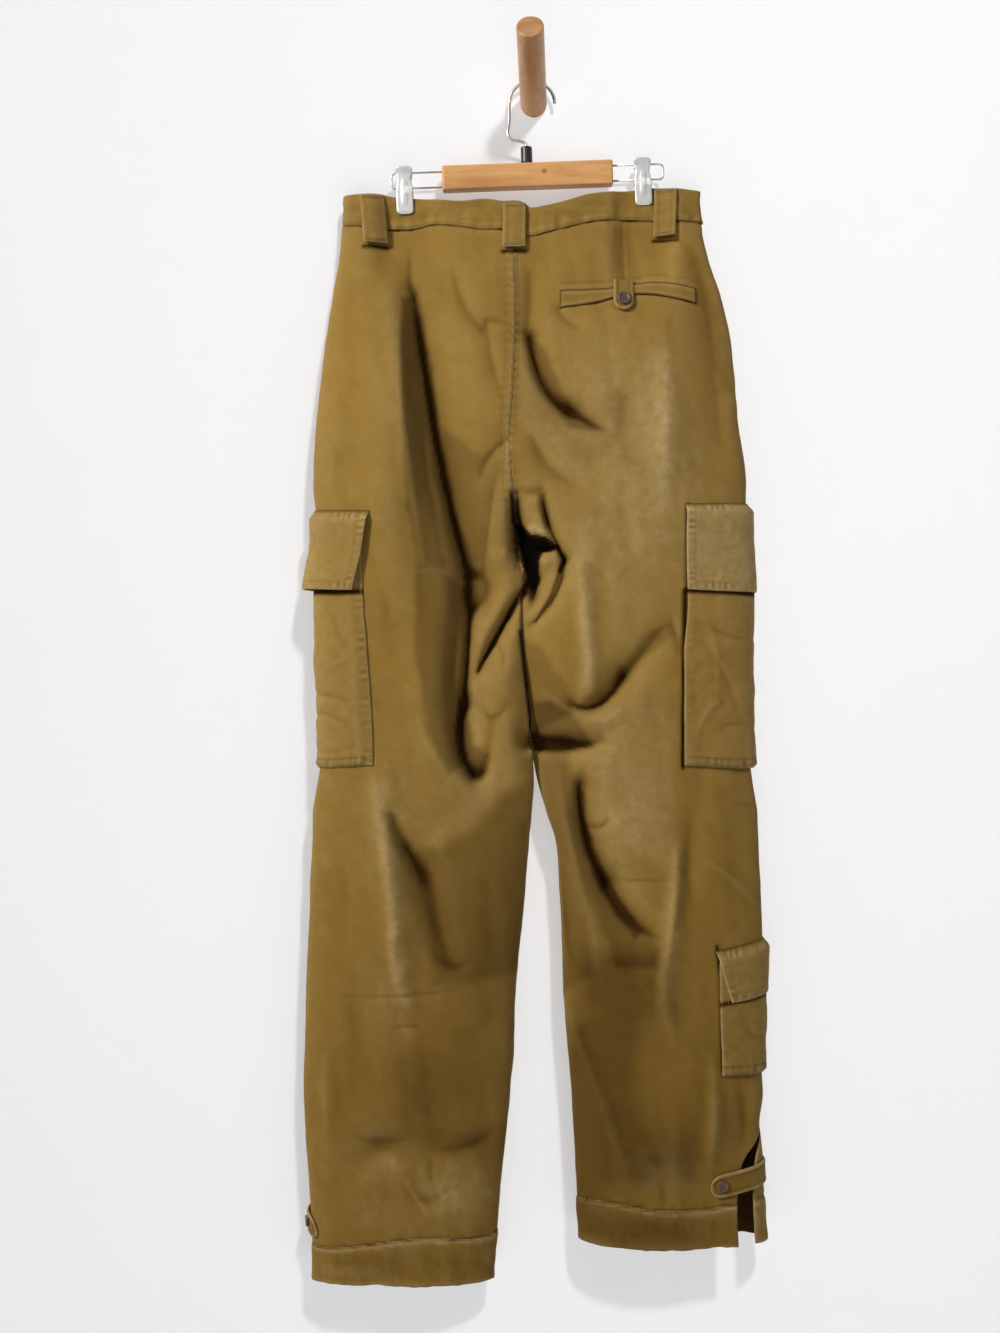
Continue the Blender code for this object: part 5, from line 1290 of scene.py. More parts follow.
# distance in from the sides and the bottom
def openEdge(points):
    left, right, _, bottom = borderDistances(points)
    return np.minimum(np.minimum(left, right), bottom)


fly = {"top": -147, "bottom": -330, "width": 38.0, "spacing": 3.0, "inset": 0.5, "taper": 0.55,
       "taperFrom": -270,
       "smoothing": 2, "wall": 1.3, "roll": 1.4, "thinner": 0.6, "wearAndLight": 0.4}
z = np.linspace(fly["top"], fly["bottom"], gridCount(fly["top"] - fly["bottom"], fly["spacing"]))[:, None]
share = np.linspace(0, 1, gridCount(fly["width"], fly["spacing"]))[None, :]
width = fly["width"] * (1 - fly["taper"] * smoothStep(fly["taperFrom"], fly["bottom"], z))
x = sectionAt("right", z)["In"] + fly["inset"] + width * share
z = np.broadcast_to(z, x.shape)
points, normals = layOn("right", 2 - turnAtX("right", x, z), z, fly["smoothing"])
roll = np.clip(sum(bell(border, fly["roll"]) for border in borderDistances(points)), 0, 1)
clothShell("fly_placket", points, normals, onCloth, onCloth + fly["wall"] - fly["thinner"] * roll,
           trimMaterial,
           chartOf(x, z), fly["wearAndLight"] * roll)

welt = {"wall": 1.5, "across": (25.3, 161.0), "width": 136, "spacing": 1.5, "tall": 15,
        "downSpacing": 1.1,
        "roll": 1.3, "thinner": 0.9, "puff": ((0.25, 1, 0, 0, 1, 11, 90), (0.12, 1, 0, 0, 1, 4, 91)),
        "wornTop": (0.2, 3.4, 1.6), "wornLow": (0.15, 3.2, 1.4), "dark": (0.95, 0, 1.3)}
x = np.linspace(*welt["across"], gridCount(welt["width"], welt["spacing"]))[None, :]
share = np.linspace(0, 1, gridCount(welt["tall"], welt["downSpacing"]))[:, None]
z = weltAt("top", x) * (1 - share) + weltAt("bottom", x) * share
x = np.broadcast_to(x, z.shape)
points, normals = frameAt("right", turnAtX("right", x, z), z)
borders = borderDistances(points)
roll = np.clip(sum(bell(border, welt["roll"]) for border in borders), 0, 1)
high = onCloth + welt["wall"] + uneven(welt["puff"], x, z) - welt["thinner"] * roll
# painted shade in a dark line round the welt's edges
clothShell("back_pocket_welt", points, normals, onCloth, high, trimMaterial, chartOf(x, z),
           bumps(borders[2], welt["wornTop"]) + bumps(borders[3], welt["wornLow"]),
           bumps(np.minimum.reduce(borders), welt["dark"]))


# a strap with a rounded tip: places along its length and the width at each
def roundedTip(length, width, count):
    radius = width / 2
    along = np.sin(np.linspace(0, 1, count) * math.pi / 2) ** 0.85 * length
    over = np.clip((along - (length - radius)) / radius, 0, 0.985)
    return along, width * np.sqrt(1 - over ** 2.2)


tab = {"centre": 88.2, "width": 21.0, "top": -190.0, "tip": -222.5, "wall": 1.5, "gap": 0.1, "rows": 30,
       "columns": 19, "smoothing": 2, "rim": 0.5, "rimFrom": (2.6, 4.2), "edge": (-0.8, 0, 0.8),
       "wearAndLight": (0.5, 0, 1.8), "dark": (0.25, 4.4, 0.8)}
along, wide = roundedTip(tab["top"] - tab["tip"], tab["width"], tab["rows"])
x = tab["centre"] + np.linspace(-0.5, 0.5, tab["columns"])[None, :] * wide[:, None]
z = np.broadcast_to(tab["top"] - along[:, None], x.shape)
points, normals = layOn("right", turnAtX("right", x, z), z, tab["smoothing"])
edge = openEdge(points)
tabStand = onCloth + welt["wall"] + tab["gap"]
high = tabStand + tab["wall"] + tab["rim"] * (1 - smoothStep(*tab["rimFrom"], edge))
high = high + bumps(edge, tab["edge"])
# painted shade along the stitch line
clothShell("pocket_tab", points, normals, tabStand, high, trimMaterial, chartOf(x, z),
           bumps(edge, tab["wearAndLight"]), bumps(edge, tab["dark"]))


pocket = {
    "wall": 1.3, "least": 0.5, "deepest": 0.9, "creaseFrom": 5,
    "edgeWave": ((0.7, 1, 0, 0, 0, 19, 95),), "sway": ((0.8, 0, 1, 0, 0, 23, 97),),
    "puckerDrift": ((2.6, 1, 0, 0, 0, 15, 112),), "puckerSwell": ((1, 1, 0, 0, 0, 12, 114),),
    "puckerMean": 0.5,
}
body = {
    "spacing": 2.0, "smoothing": 3, "bulge": 3.4, "bulgeRise": 2.8, "ramp": 4.0, "backRamp": 16,
    "puff": ((0.7, 1, 0, 0, 1, 27, 100), (0.35, 1, 0, 0, 1, 11, 104), (0.16, 1, 0, 0, 1, 5, 108)),
    "liftWide": 10.0, "liftLow": 14.0, "puckerPitch": 8.3, "puckerRise": 0.62,
    "lowStitch": (1, 5, 4.0), "backStitch": (1, 5, 3.6), "lowGroove": (-0.3, 9, 1.0),
    "backGroove": (1, 9, 1.4),
    "edge": (-0.7, 0, 0.7), "wornEdge": (0.5, 0.3, 0.9), "wornCorner": (0.35, 0, 9.0), "wornPucker": 0.22,
    "wearAndLight": 0.06, "darkPucker": 0.14, "darkLow": 0.12, "darkGroove": (0.25, 9, 0.9),
    "underFlapShadow": (1.3, -0.5, 2.2),
}
# the right pockets stand open along their back edge
bodySides = {"left": {"gap": 0.0, "backLeast": 0.0, "lift": 0.0, "backStitch": 1.0, "backGroove": -0.2},
             "right": {"gap": 1.5, "backLeast": 0.8, "lift": 1.6, "backStitch": 0.35, "backGroove": 0.0}}
flap = {
    "spacing": 1.9, "smoothing": 4, "dip": 2.0, "wall": 1.7, "attach": 9.0, "gap": 1.0,
    "leftFlare": (8.0, -5, 45.0), "flareFrom": (0.3, 1.0), "swayFrom": (0.4, 1.0), "swayGain": 0.8,
    "swayMean": 0.4,
    "sway": ((1, 1, 0, 0, 0.4, 24, 120),), "puff": ((0.22, 1, 0, 0, 1, 9, 124),),
    "puckerPitch": 7.3, "puckerRise": 0.55, "edgeStitch": (1, 4.5, 3.4), "topStitch": (1, 5, 3.4),
    "edgeGrooves": ((-0.16, 7.8, 1.2), (-0.7, 0, 0.7)),
    "topGrooves": ((-0.8, 0, 1.1), (-0.35, 7.6, 0.9), (-0.3, 2.0, 0.8)),
    "snapRing": (1, 5.6, 1.2), "snapRise": 0.12, "snapPit": (-0.3, 0, 2.2), "snapWorn": 0.03,
    "snapDark": (0.03, 8.5, 1.6),
    "wornEdge": (0.6, 0.3, 0.9), "wornPucker": 0.25, "darkPucker": 0.15, "darkEdge": (0.1, 8.0, 0.9),
    "darkTop": (0.6, 0, 0.9),
}
pocketColumns = ("name", "half", "backTop", "backBottom", "frontTop", "frontBottom",
                 "topBack", "topFront", "bottomBack", "bottomFront")
pocketRows = (
    ("cargo_pocket_left", "left", 56, 64, -96, -96, -436, -432, -673, -686),
    ("cargo_pocket_right", "right", 73, 78, -90, -90, -430, -428, -673, -684),
    ("calf_pocket_right", "right", 54, 51, -56, -56, -866, -862, -980, -982),
)
flapRows = (
    ("cargo_flap_left", "left", 68, 49, -100, -100, -421, -414, -501, -494),
    ("cargo_flap_right", "right", 74.5, 75.5, -94, -94, -414, -408, -500, -503),
    ("calf_flap_right", "right", 58, 41, -60, -60, -855, -832, -908, -886),
)
pocketCreases = (
    (172, -536, 190, -545, 214, -549, -1.8, 2.5, 6, 0.4, 0.4, 1.2),
    (170, -560, 188, -590, 200, -630, -1.4, 5, 3, 0.3, 0.3, 1.3),
    (160, -520, 176, -556, 178, -600, 1.3, 4, 5, 0.3, 0.3, 1.4),
    (176, -640, 196, -632, 216, -640, -1.3, 4, 4, 0.3, 0.3, 1.4),
    (158, -650, 168, -620, 190, -604, 1.2, 4, 4, 0.3, 0.3, 1.4),
    (-218, -602, -200, -604, -180, -610, -1.8, 3, 5, 0.5, 0.3, 1.2),
    (-217, -636, -206, -622, -180, -637, -1.9, 3, 5, 0.5, 0.3, 1.2),
    (-214, -560, -196, -572, -184, -560, 1.2, 6, 5, 0.3, 0.3, 1.4),
    (-200, -520, -190, -548, -176, -560, -1.1, 5, 5, 0.3, 0.3, 1.4),
    (-216, -655, -200, -660, -178, -652, -1.0, 4, 4, 0.3, 0.3, 1.4),
    (206, -925, 214, -940, 226, -944, -1.0, 4, 4, 0.3, 0.3, 1.4),
    (-215, -455, -200, -470, -184, -468, -0.9, 6, 5, 0.3, 0.3, 1.4),
    (166, -450, 190, -458, 214, -446, -0.9, 6, 5, 0.3, 0.3, 1.4),
    (170, -426, 190, -436, 205, -470, 0.8, 5, 5, 0.3, 0.3, 1.4),
)
# where a snap's print shows, and how worn the flap is
flapFinish = {"cargo_flap_left": (-199, -481, 0.12), "cargo_flap_right": (176, -483.5, 0.45),
              "calf_flap_right": (202, -887, 0.12)}


def blend(places, start, end, share):
    return places[start] * (1 - share) + places[end] * share


def pocketGrid(row, spacing):
    places = dict(zip(pocketColumns, row))
    down = np.linspace(0, 1, gridCount(places["topBack"] - places["bottomBack"], spacing))[:, None]
    across = np.linspace(0, 1, gridCount(places["backTop"] - places["frontTop"], spacing))[None, :]
    distance = (blend(places, "backTop", "backBottom", down) * (1 - across)
                + blend(places, "frontTop", "frontBottom", down) * across)
    z = (blend(places, "topBack", "topFront", across) * (1 - down)
         + blend(places, "bottomBack", "bottomFront", across) * down)
    return places, distance, z + uneven(pocket["edgeWave"], distance, z) * down, down, across


def puckerAt(along, pitch, shift):
    phase = along * 2 * math.pi / pitch + uneven(pocket["puckerDrift"], along, along, shift)
    return np.sin(phase) * (pocket["puckerMean"] + uneven(pocket["puckerSwell"], along, along, shift))


# the underside of a pocket or flap with its creases, never through the leg
def creasedOver(low, points, z, edge):
    creased = foldAt(pocketCreases, points[..., 0], z) * smoothStep(0, pocket["creaseFrom"], edge)
    return np.maximum(low + creased, onCloth * pocket["deepest"])


for number, row in enumerate(pocketRows):
    places, distance, z, down, across = pocketGrid(row, body["spacing"])
    half = places["half"]
    side = bodySides[half]
    distance = distance + uneven(pocket["sway"], distance, z, number)
    points, normals = layOn(half, turnAt(half, distance, z), z, body["smoothing"])
    toBack, toFront, toTop, toBottom = borderDistances(points)
    edge = openEdge(points)
    ramp = smoothStep(0, body["ramp"], np.minimum(toFront, toBottom))
    ramp = ramp * (side["backLeast"] + (1 - side["backLeast"]) * smoothStep(0, body["backRamp"], toBack))
    lifted = side["lift"] * bell(toBack, body["liftWide"]) * (1 - bell(toBottom, body["liftLow"]))
    puff = body["bulgeRise"] + uneven(body["puff"], distance, z, number)
    low = onCloth + side["gap"] + puff * ramp + lifted
    low = creasedOver(low, points, z, edge)
    alongEdge = np.where(toBottom < np.minimum(toBack, toFront), distance, z)
    pucker = puckerAt(alongEdge, body["puckerPitch"], 0)
    atBottom = bumps(toBottom, body["lowStitch"])
    stitched = np.clip(atBottom + side["backStitch"] * bumps(toBack, body["backStitch"]), 0, 1)
    high = low + pocket["wall"] + body["puckerRise"] * pucker * stitched
    high = high + bumps(toBottom, body["lowGroove"])
    high = high + side["backGroove"] * bumps(toBack, body["backGroove"]) + bumps(edge, body["edge"])
    wearAndLight = body["wearAndLight"] + bumps(edge, body["wornEdge"])
    wearAndLight = wearAndLight + body["wornPucker"] * np.clip(pucker, 0, 1) * stitched
    wearAndLight = wearAndLight + bumps(np.hypot(np.minimum(toBack, toFront), toBottom), body["wornCorner"])
    flapPlaces = dict(zip(pocketColumns, flapRows[number]))
    flapEdge = blend(flapPlaces, "bottomBack", "bottomFront",
                     across) - flap["dip"] * np.sin(math.pi * across)
    # painted shade in the puckers' hollows, the lower seam and groove, and a painted shadow under the
    # flap's edge
    dark = body["darkPucker"] * np.clip(-pucker, 0, 1) * stitched + body["darkLow"] * atBottom
    dark = dark + bumps(z - flapEdge, body["underFlapShadow"]) + bumps(toBottom, body["darkGroove"])
    clothShell(places["name"], points, normals, low, np.maximum(high, low + pocket["least"]),
               clothMaterial,
               chartOf(distance, z), wearAndLight, dark)

for number, row in enumerate(flapRows):
    places, distance, z, down, across = pocketGrid(row, flap["spacing"])
    half = places["half"]
    z = z - flap["dip"] * np.sin(math.pi * across) * down     # the hanging edge dips between its corners
    points, normals = layOn(half, turnAt(half, distance, z), z, flap["smoothing"])
    toBack, toFront, toTop, toBottom = borderDistances(points)
    edge = openEdge(points)
    low = onCloth + (body["bulge"] + pocket["wall"] + flap["gap"]) * smoothStep(0, flap["attach"], toTop)
    if half == "left":
        low = low + smoothStep(*flap["flareFrom"], down) * bumps(distance, flap["leftFlare"])
    sway = flap["swayMean"] + uneven(flap["sway"], distance, z, number)
    low = low + flap["swayGain"] * smoothStep(*flap["swayFrom"], down) * sway
    low = creasedOver(low + uneven(flap["puff"], distance, z, number), points, z, edge)
    onLevel = np.minimum(toBottom, toTop) < np.minimum(toBack, toFront)
    pucker = puckerAt(np.where(onLevel, distance, z), flap["puckerPitch"], 1)
    stitched = np.clip(bumps(edge, flap["edgeStitch"]) + bumps(toTop, flap["topStitch"]), 0, 1)
    snapX, snapZ, wearAndLight = flapFinish[places["name"]]
    snap = np.hypot(points[..., 0] - snapX, z - snapZ)
    ring = bumps(snap, flap["snapRing"])
    high = low + flap["wall"] + flap["puckerRise"] * pucker * stitched
    high = high + bumps(edge, *flap["edgeGrooves"]) + bumps(toTop, *flap["topGrooves"])
    high = high + flap["snapRise"] * ring + bumps(snap, flap["snapPit"])
    wearAndLight = wearAndLight + bumps(edge, flap["wornEdge"]) + flap["snapWorn"] * ring
    wearAndLight = wearAndLight + flap["wornPucker"] * np.clip(pucker, 0, 1) * stitched
    # painted shade in the puckers' hollows, along the edges, under the top seam and round the snap
    dark = flap["darkPucker"] * np.clip(-pucker, 0, 1) * stitched + bumps(edge, flap["darkEdge"])
    dark = dark + bumps(toTop, flap["darkTop"]) + bumps(snap, flap["snapDark"])
    clothShell(places["name"], points, normals, low, np.maximum(high, low + pocket["least"]),
               clothMaterial,
               chartOf(distance, z), wearAndLight, dark)
print("pockets ready")


strap = {
    "wall": 1.7, "alongSpacing": 1.6, "spacing": 1.3, "stand": form["cloth"] / 2 + 1.2, "smoothing": 4,
    "rim": 0.45, "rimFrom": (3.0, 4.6), "edge": (-0.85, 0, 0.8), "puff": ((0.14, 1, 0, 0, 1, 7, 131),),
    "wearAndLight": (0.55, 0, 1.8), "dark": (0.3, 4.8, 0.8), "buttonGap": 0.2, "buttonRadius": 5.8,
    "buttonThick": 2.2,
}
strapColumns = ("half", "tip", "end", "tipZ", "sideZ", "endZ", "width", "buttonAt")
strapRows = (
    ("right", 66.0, -32.0, -1089.0, -1077.0, -1068.0, 24.0, 54.0),
    ("left", 14.0, -84.0, -1138.0, -1128.0, -1112.0, 24.0, 2.0),
)


def strapLevel(row, distance):
    return smoothCurve(distance, (row["end"], 0.0, row["tip"]), (row["endZ"], row["sideZ"], row["tipZ"]))


for row in (dict(zip(strapColumns, places)) for places in strapRows):
    half, length = row["half"], row["tip"] - row["end"]
    along, wide = roundedTip(length, row["width"], gridCount(length, strap["alongSpacing"]))
    distance = (row["end"] + along)[:, None]
    share = np.linspace(1, -1, gridCount(row["width"], strap["spacing"]))[None, :]
    z = strapLevel(row, distance) + share * wide[:, None] / 2
    distance = np.broadcast_to(distance, z.shape)
    points, normals = layOn(half, turnAt(half, distance, z), z, strap["smoothing"])
    edge = openEdge(points)
    high = strap["stand"] + strap["wall"] + strap["rim"] * (1 - smoothStep(*strap["rimFrom"], edge))
    high = high + bumps(edge, strap["edge"]) + uneven(strap["puff"], distance, z)
    # painted shade along the stitch line
    clothShell("ankle_tab_" + half, points, normals, strap["stand"], high, trimMaterial,
               chartOf(distance, z),
               bumps(edge, strap["wearAndLight"]), bumps(edge, strap["dark"]))
print("ankle tabs ready")


button = {
    "sides": 40, "holes": 1.0 / 6.8, "holeRing": 1.9 / 6.8,     # shares of the radius
    "face": 0.62, "holeSides": 12, "holeTaper": 0.8, "holeDeep": 0.08, "holeRise": 0.02,
    "threadRise": 0.28, "threadLong": 1.45, "threadWide": 0.42, "threadThick": 0.34,
}
# shares of the radius and of the thickness, from the middle of the face outwards
buttonProfile = (
    (0.0, 0.62), (0.30, 0.62), (0.46, 0.64), (0.58, 0.78), (0.68, 0.95), (0.80, 1.0), (0.91, 0.94),
    (0.98, 0.76), (1.0, 0.52), (0.99, 0.25), (0.93, 0.06), (0.84, 0.0), (0.5, 0.0), (0.0, 0.0),
)


# a bmesh in mm made into a smooth piece
def finishShape(name, shape, *materials, place=Matrix()):
    for surface in shape.faces:
        surface.smooth = True
    shape.transform(Matrix.Scale(mm, 4) @ place)
    data = bpy.data.meshes.new(name)
    shape.to_mesh(data)
    shape.free()
    pieces[name] = {"object": placeObject(name, data, *materials), "tris": 0, "area": 0}


# a turned button with a raised rim and four holes crossed by thread
def makeButton(name, half, turn, z, stand, radius, thickness):
    point, normal = frameAt(half, np.array([[turn]]), np.array([[z]]))
    direction = Vector(normal[0, 0]).normalized()
    base = Vector(point[0, 0]) + direction * stand
    shape = bmesh.new()
    rings = []
    sides = button["sides"]
    around = [2 * math.pi * i / sides for i in range(sides)]
    for out, up in buttonProfile:
        places = [(radius * out * math.cos(a),
                   radius * out * math.sin(a)) for a in around[:None if out else 1]]
        rings.append([shape.verts.new((*place, up * thickness)) for place in places])
    for upper, lower in zip(rings, rings[1:]):
        for i in range(sides):
            j = (i + 1) % sides
            if len(upper) == 1:
                shape.faces.new((upper[0], lower[i], lower[j]))
            elif len(lower) == 1:
                shape.faces.new((upper[i], lower[0], upper[j]))
            else:
                shape.faces.new((upper[i], lower[i], lower[j], upper[j]))
    face = thickness * button["face"]
    ring = button["holeRing"] * radius
    hole = button["holes"] * radius
    for k in range(4):
        angle = math.pi / 4 + k * math.pi / 2
        centre = (ring * math.cos(angle), ring * math.sin(angle), face + button["holeRise"])
        bmesh.ops.create_cone(shape, cap_ends=True, segments=button["holeSides"], radius1=hole,
                              radius2=hole * button["holeTaper"], depth=button["holeDeep"],
                              matrix=Matrix.Translation(centre))
    threadFaces = len(shape.faces)
    size = (ring * button["threadLong"], button["threadWide"], button["threadThick"], 1)
    for k in (-1, 1):
        place = Matrix.Translation((0, k * ring * math.cos(math.pi / 4), face + button["threadRise"]))
        bmesh.ops.create_icosphere(shape, subdivisions=2, radius=1.0,
                                   matrix=place @ Matrix.Diagonal(size))
    for surface in list(shape.faces)[threadFaces:]:
        surface.material_index = 1
    place = Matrix.Translation(base) @ direction.to_track_quat("Z", "Y").to_matrix().to_4x4()
    finishShape(name, shape, buttonMaterial, threads["dark"], place=place)


waistButton = {"x": -5.0, "z": -122.0, "stand": 2.1, "radius": 8.0, "thick": 2.3}
pocketButton = {"x": 88.9, "z": -211.4, "gap": 0.25, "radius": 6.8, "thick": 2.4}
makeButton("waist_button", "right", 2 - float(turnAtX("right", waistButton["x"], waistButton["z"])),
           waistButton["z"], waistButton["stand"], waistButton["radius"], waistButton["thick"])
makeButton("pocket_button", "right", float(turnAtX("right", pocketButton["x"], pocketButton["z"])),
           pocketButton["z"], tabStand + tab["wall"] + pocketButton["gap"], pocketButton["radius"],
           pocketButton["thick"])
for row in (dict(zip(strapColumns, places)) for places in strapRows):
    half, level = row["half"], float(strapLevel(row, row["buttonAt"]))
    makeButton("ankle_button_" + half, half, float(turnAt(half, row["buttonAt"], level)), level,
               strap["stand"] + strap["wall"] + strap["buttonGap"], strap["buttonRadius"],
               strap["buttonThick"])


hanger = {
    "tilt": math.radians(2.1), "centre": (-6.5, -14.0, -79.4), "bar": (172.5, 14.0, 25.0),
    "reach": 137.5, "spacing": 15.5, "wire": 1.0, "corner": 4.3, "sides": 16,
    "gap": 0.3, "bendSteps": 9, "dome": 0.25,
    "hookCentre": (-1.7, -2.8), "hookRadius": 23.0, "hookWire": 1.6, "wallGap": 6.0, "collarHeight": 16.6,
    "hookSteps": 30, "hookPlaces": 110,
    "stem": ((0, 0), (-0.2, 2.5), (-2.6, 5.0), (-8.0, 6.6), (-13.5, 7.8), (-17.4, 10.8), (-18.9, 15.5)),
    "shank": ((-24.9, -22.0), (-24.9, -12.0)),
}
clip = {
    "width": 17.0, "above": 13.0, "below": 35.0, "plate": 1.3, "corner": 4.0, "columns": 19, "rows": 49,
    "gapAt": (-35.0, -15.0, -6.0, 6.0, 13.0), "gaps": (5.1, 5.1, 3.4, 3.4, 6.6), "thinnest": 0.15,
    "waist": (1.6, 0, 5.0), "rib": 0.7, "ribWide": 0.34, "ribAt": -12, "ribLong": 13.0,
    "curlEnd": (0.5, 0, 1.4), "curlSide": 0.35, "curlPower": 8,
    "coils": 9, "coilStart": -5.6, "coilPitch": 1.4, "coilRadius": 2.6, "coilLong": 1.1, "coilSides": 20,
}


def hangerPoint(along, depth, up):
    tilt = hanger["tilt"]
    x = hanger["centre"][0] + along * math.cos(tilt) - up * math.sin(tilt)
    z = hanger["centre"][2] + along * math.sin(tilt) + up * math.cos(tilt)
    return Vector((x, hanger["centre"][1] + depth, z))


# a round wire along points, with domed ends
def makeWire(name, path, radius):
    path = [Vector(place) for place in path]
    last = len(path) - 1
    tangents = [(path[min(i + 1, last)] - path[max(i - 1, 0)]).normalized() for i in range(last + 1)]
    side = tangents[0].orthogonal().normalized()
    shape = bmesh.new()
    rings = []
    sides = hanger["sides"]
    around = [2 * math.pi * k / sides for k in range(sides)]
    for place, tangent in zip(path, tangents):
        side = (side - tangent * side.dot(tangent)).normalized()
        other = tangent.cross(side)
        ring = [place + (side * math.cos(a) + other * math.sin(a)) * radius for a in around]
        rings.append([shape.verts.new(spot) for spot in ring])
    for first, second in zip(rings, rings[1:]):
        for k in range(sides):
            after = (k + 1) % sides
            shape.faces.new((first[k], first[after], second[after], second[k]))
    for ring, place, tangent in ((rings[0], path[0], -tangents[0]), (rings[-1], path[-1], tangents[-1])):
        top = shape.verts.new(place + tangent * hanger["dome"] * radius)
        for k in range(sides):
            pair = (ring[k], ring[(k + 1) % sides])
            shape.faces.new((*(pair[::-1] if ring is rings[0] else pair), top))
    bmesh.ops.recalc_face_normals(shape, faces=shape.faces[:])
    finishShape(name, shape, wireMaterial)


def makeRail(name, side):
    start = side * (hanger["bar"][0] / 2 + hanger["gap"])
    half, corner = hanger["spacing"] / 2, hanger["corner"]
    upper = [(side * (hanger["reach"] - corner + corner * math.sin(a)), half - corner * (1 - math.cos(a)))
             for a in np.linspace(0, math.pi / 2, hanger["bendSteps"])]
    path = [(start, half)] + upper + [(x, -z) for x, z in reversed(upper)] + [(start, -half)]
    makeWire(name, [hangerPoint(x, 0, z) for x, z in path], hanger["wire"])


def makeHook():
    collarTop = hanger["bar"][2] / 2 + hanger["gap"] + hanger["collarHeight"]
    foot = hangerPoint(0, 0, collarTop + hanger["gap"])
    (centreX, centreZ), radius, steps = hanger["hookCentre"], hanger["hookRadius"], hanger["hookSteps"]
    turns = [math.pi * (1 - i / steps) for i in range(steps + 1)]
    places = np.array([(foot.x + x, foot.z + z) for x, z in hanger["stem"]] + list(hanger["shank"])
                      + [(centreX + radius * math.cos(a), centreZ + radius * math.sin(a)) for a in turns])
    run = np.insert(np.cumsum(np.hypot(*np.diff(places, axis=0).T)), 0, 0.0)
    x, z = (smoothCurve(np.linspace(0, run[-1], hanger["hookPlaces"]), run,
                        values) for values in places.T)
    depth = foot.y + (-hanger["wallGap"] - foot.y) * np.clip((z - foot.z) / (-foot.z), 0.0, 1.0)
    makeWire("hook", list(zip(x, depth, z)), hanger["hookWire"])


# one plate of a clip as a grid of vertices: the inner face, or the outer one with its rib
def clipFace(shape, along, way, outer):
    heights = np.linspace(-clip["below"], clip["above"], clip["rows"])[:, None]
    share = np.linspace(-1, 1, clip["columns"])[None, :]
    end = np.minimum(heights + clip["below"], clip["above"] - heights)
    corner = clip["corner"]
    inset = np.where(end < corner, corner - np.sqrt(np.clip(corner ** 2 - (corner - end) ** 2, 0, None)),
                     0)
    across = share * (clip["width"] / 2 - inset - bumps(heights, clip["waist"]))
    out = smoothCurve(heights, clip["gapAt"], clip["gaps"]) + 0 * share
    if outer:
        rib = np.exp(-(share / clip["ribWide"]) ** 4)
        rib = rib * np.exp(-((heights - clip["ribAt"]) / clip["ribLong"]) ** 4)
        curl = bumps(end, clip["curlEnd"]) + clip["curlSide"] * np.abs(share) ** clip["curlPower"]
        out = np.maximum(out + clip["plate"] + clip["rib"] * rib - curl, out + clip["thinnest"])
    return [[shape.verts.new(hangerPoint(along + across[r, c], way * out[r, c], heights[r, 0]))
             for c in range(clip["columns"])] for r in range(clip["rows"])]


# two pressed plates with rounded corners and a raised rib, and the spring's coil between the wires
def makeClip(name, centreX):
    along = (centreX - hanger["centre"][0]) / math.cos(hanger["tilt"])
    shape = bmesh.new()
    lastRow, lastColumn = clip["rows"] - 1, clip["columns"] - 1
    border = [(0, c) for c in range(lastColumn)] + [(r, lastColumn) for r in range(lastRow)]
    border += [(lastRow, c) for c in range(lastColumn, 0, -1)] + [(r, 0) for r in range(lastRow, 0, -1)]
    for way in (-1, 1):
        faces = [clipFace(shape, along, way, outer) for outer in (False, True)]
        for grid in faces:
            for upper, lower in zip(grid, grid[1:]):
                for c in range(lastColumn):
                    shape.faces.new((upper[c], upper[c + 1], lower[c + 1], lower[c]))
        inner, outer = faces
        for (r0, c0), (r1, c1) in zip(border, border[1:] + border[:1]):
            shape.faces.new((inner[r0][c0], outer[r0][c0], outer[r1][c1], inner[r1][c1]))
    for coil in range(clip["coils"]):
        place = hangerPoint(along + clip["coilStart"] + coil * clip["coilPitch"], 0, 0)
        bmesh.ops.create_cone(shape, cap_ends=True, segments=clip["coilSides"],
                              radius1=clip["coilRadius"],
                              radius2=clip["coilRadius"], depth=clip["coilLong"],
                              matrix=Matrix.Translation(place) @ Matrix.Rotation(math.pi / 2, 4, "Y"))
    bmesh.ops.recalc_face_normals(shape, faces=shape.faces[:])
    finishShape(name, shape, plateMaterial)


makeRail("rail_left", -1)
makeRail("rail_right", 1)
makeHook()
makeClip("clip_left", form["clipCentres"][0])
makeClip("clip_right", form["clipCentres"][1])
kept = {"hanger_bar": barMaterial, "wall_peg": pegMaterial, "hook_collar": collarMaterial}
keptPieces = [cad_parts[name] for name in kept]
for item, material in zip(keptPieces, kept.values()):
    for slot in item.material_slots:
        slot.material = material
print("hanger ready")


stitch = {
    "length": 2.7, "pitch": 3.5, "width": 0.62, "sink": 0.10, "seed": 5, "shift": 0.12,
    "sides": 6, "rings": 5, "least": 0.82, "most": 1.12,
}
stitchPoints = {kind: [] for kind in threads}


def surfaceTree(name):
    piece = pieces[name]
    if "tree" not in piece:
        data = piece["object"].data
        count = len(data.vertices) // 2
        places = np.zeros(len(data.vertices) * 3, dtype=np.float32)
        data.vertices.foreach_get("co", places)
        outer = [tuple(face.vertices) for face in data.polygons if max(face.vertices) < count]
        piece["tree"] = BVHTree.FromPolygons([tuple(place) for place in places.reshape(-1, 3)[:count]],
                                             outer)
    return piece["tree"]


def runOf(path):
    return np.insert(np.cumsum(np.linalg.norm(np.diff(path, axis=0), axis=1)), 0, 0.0)


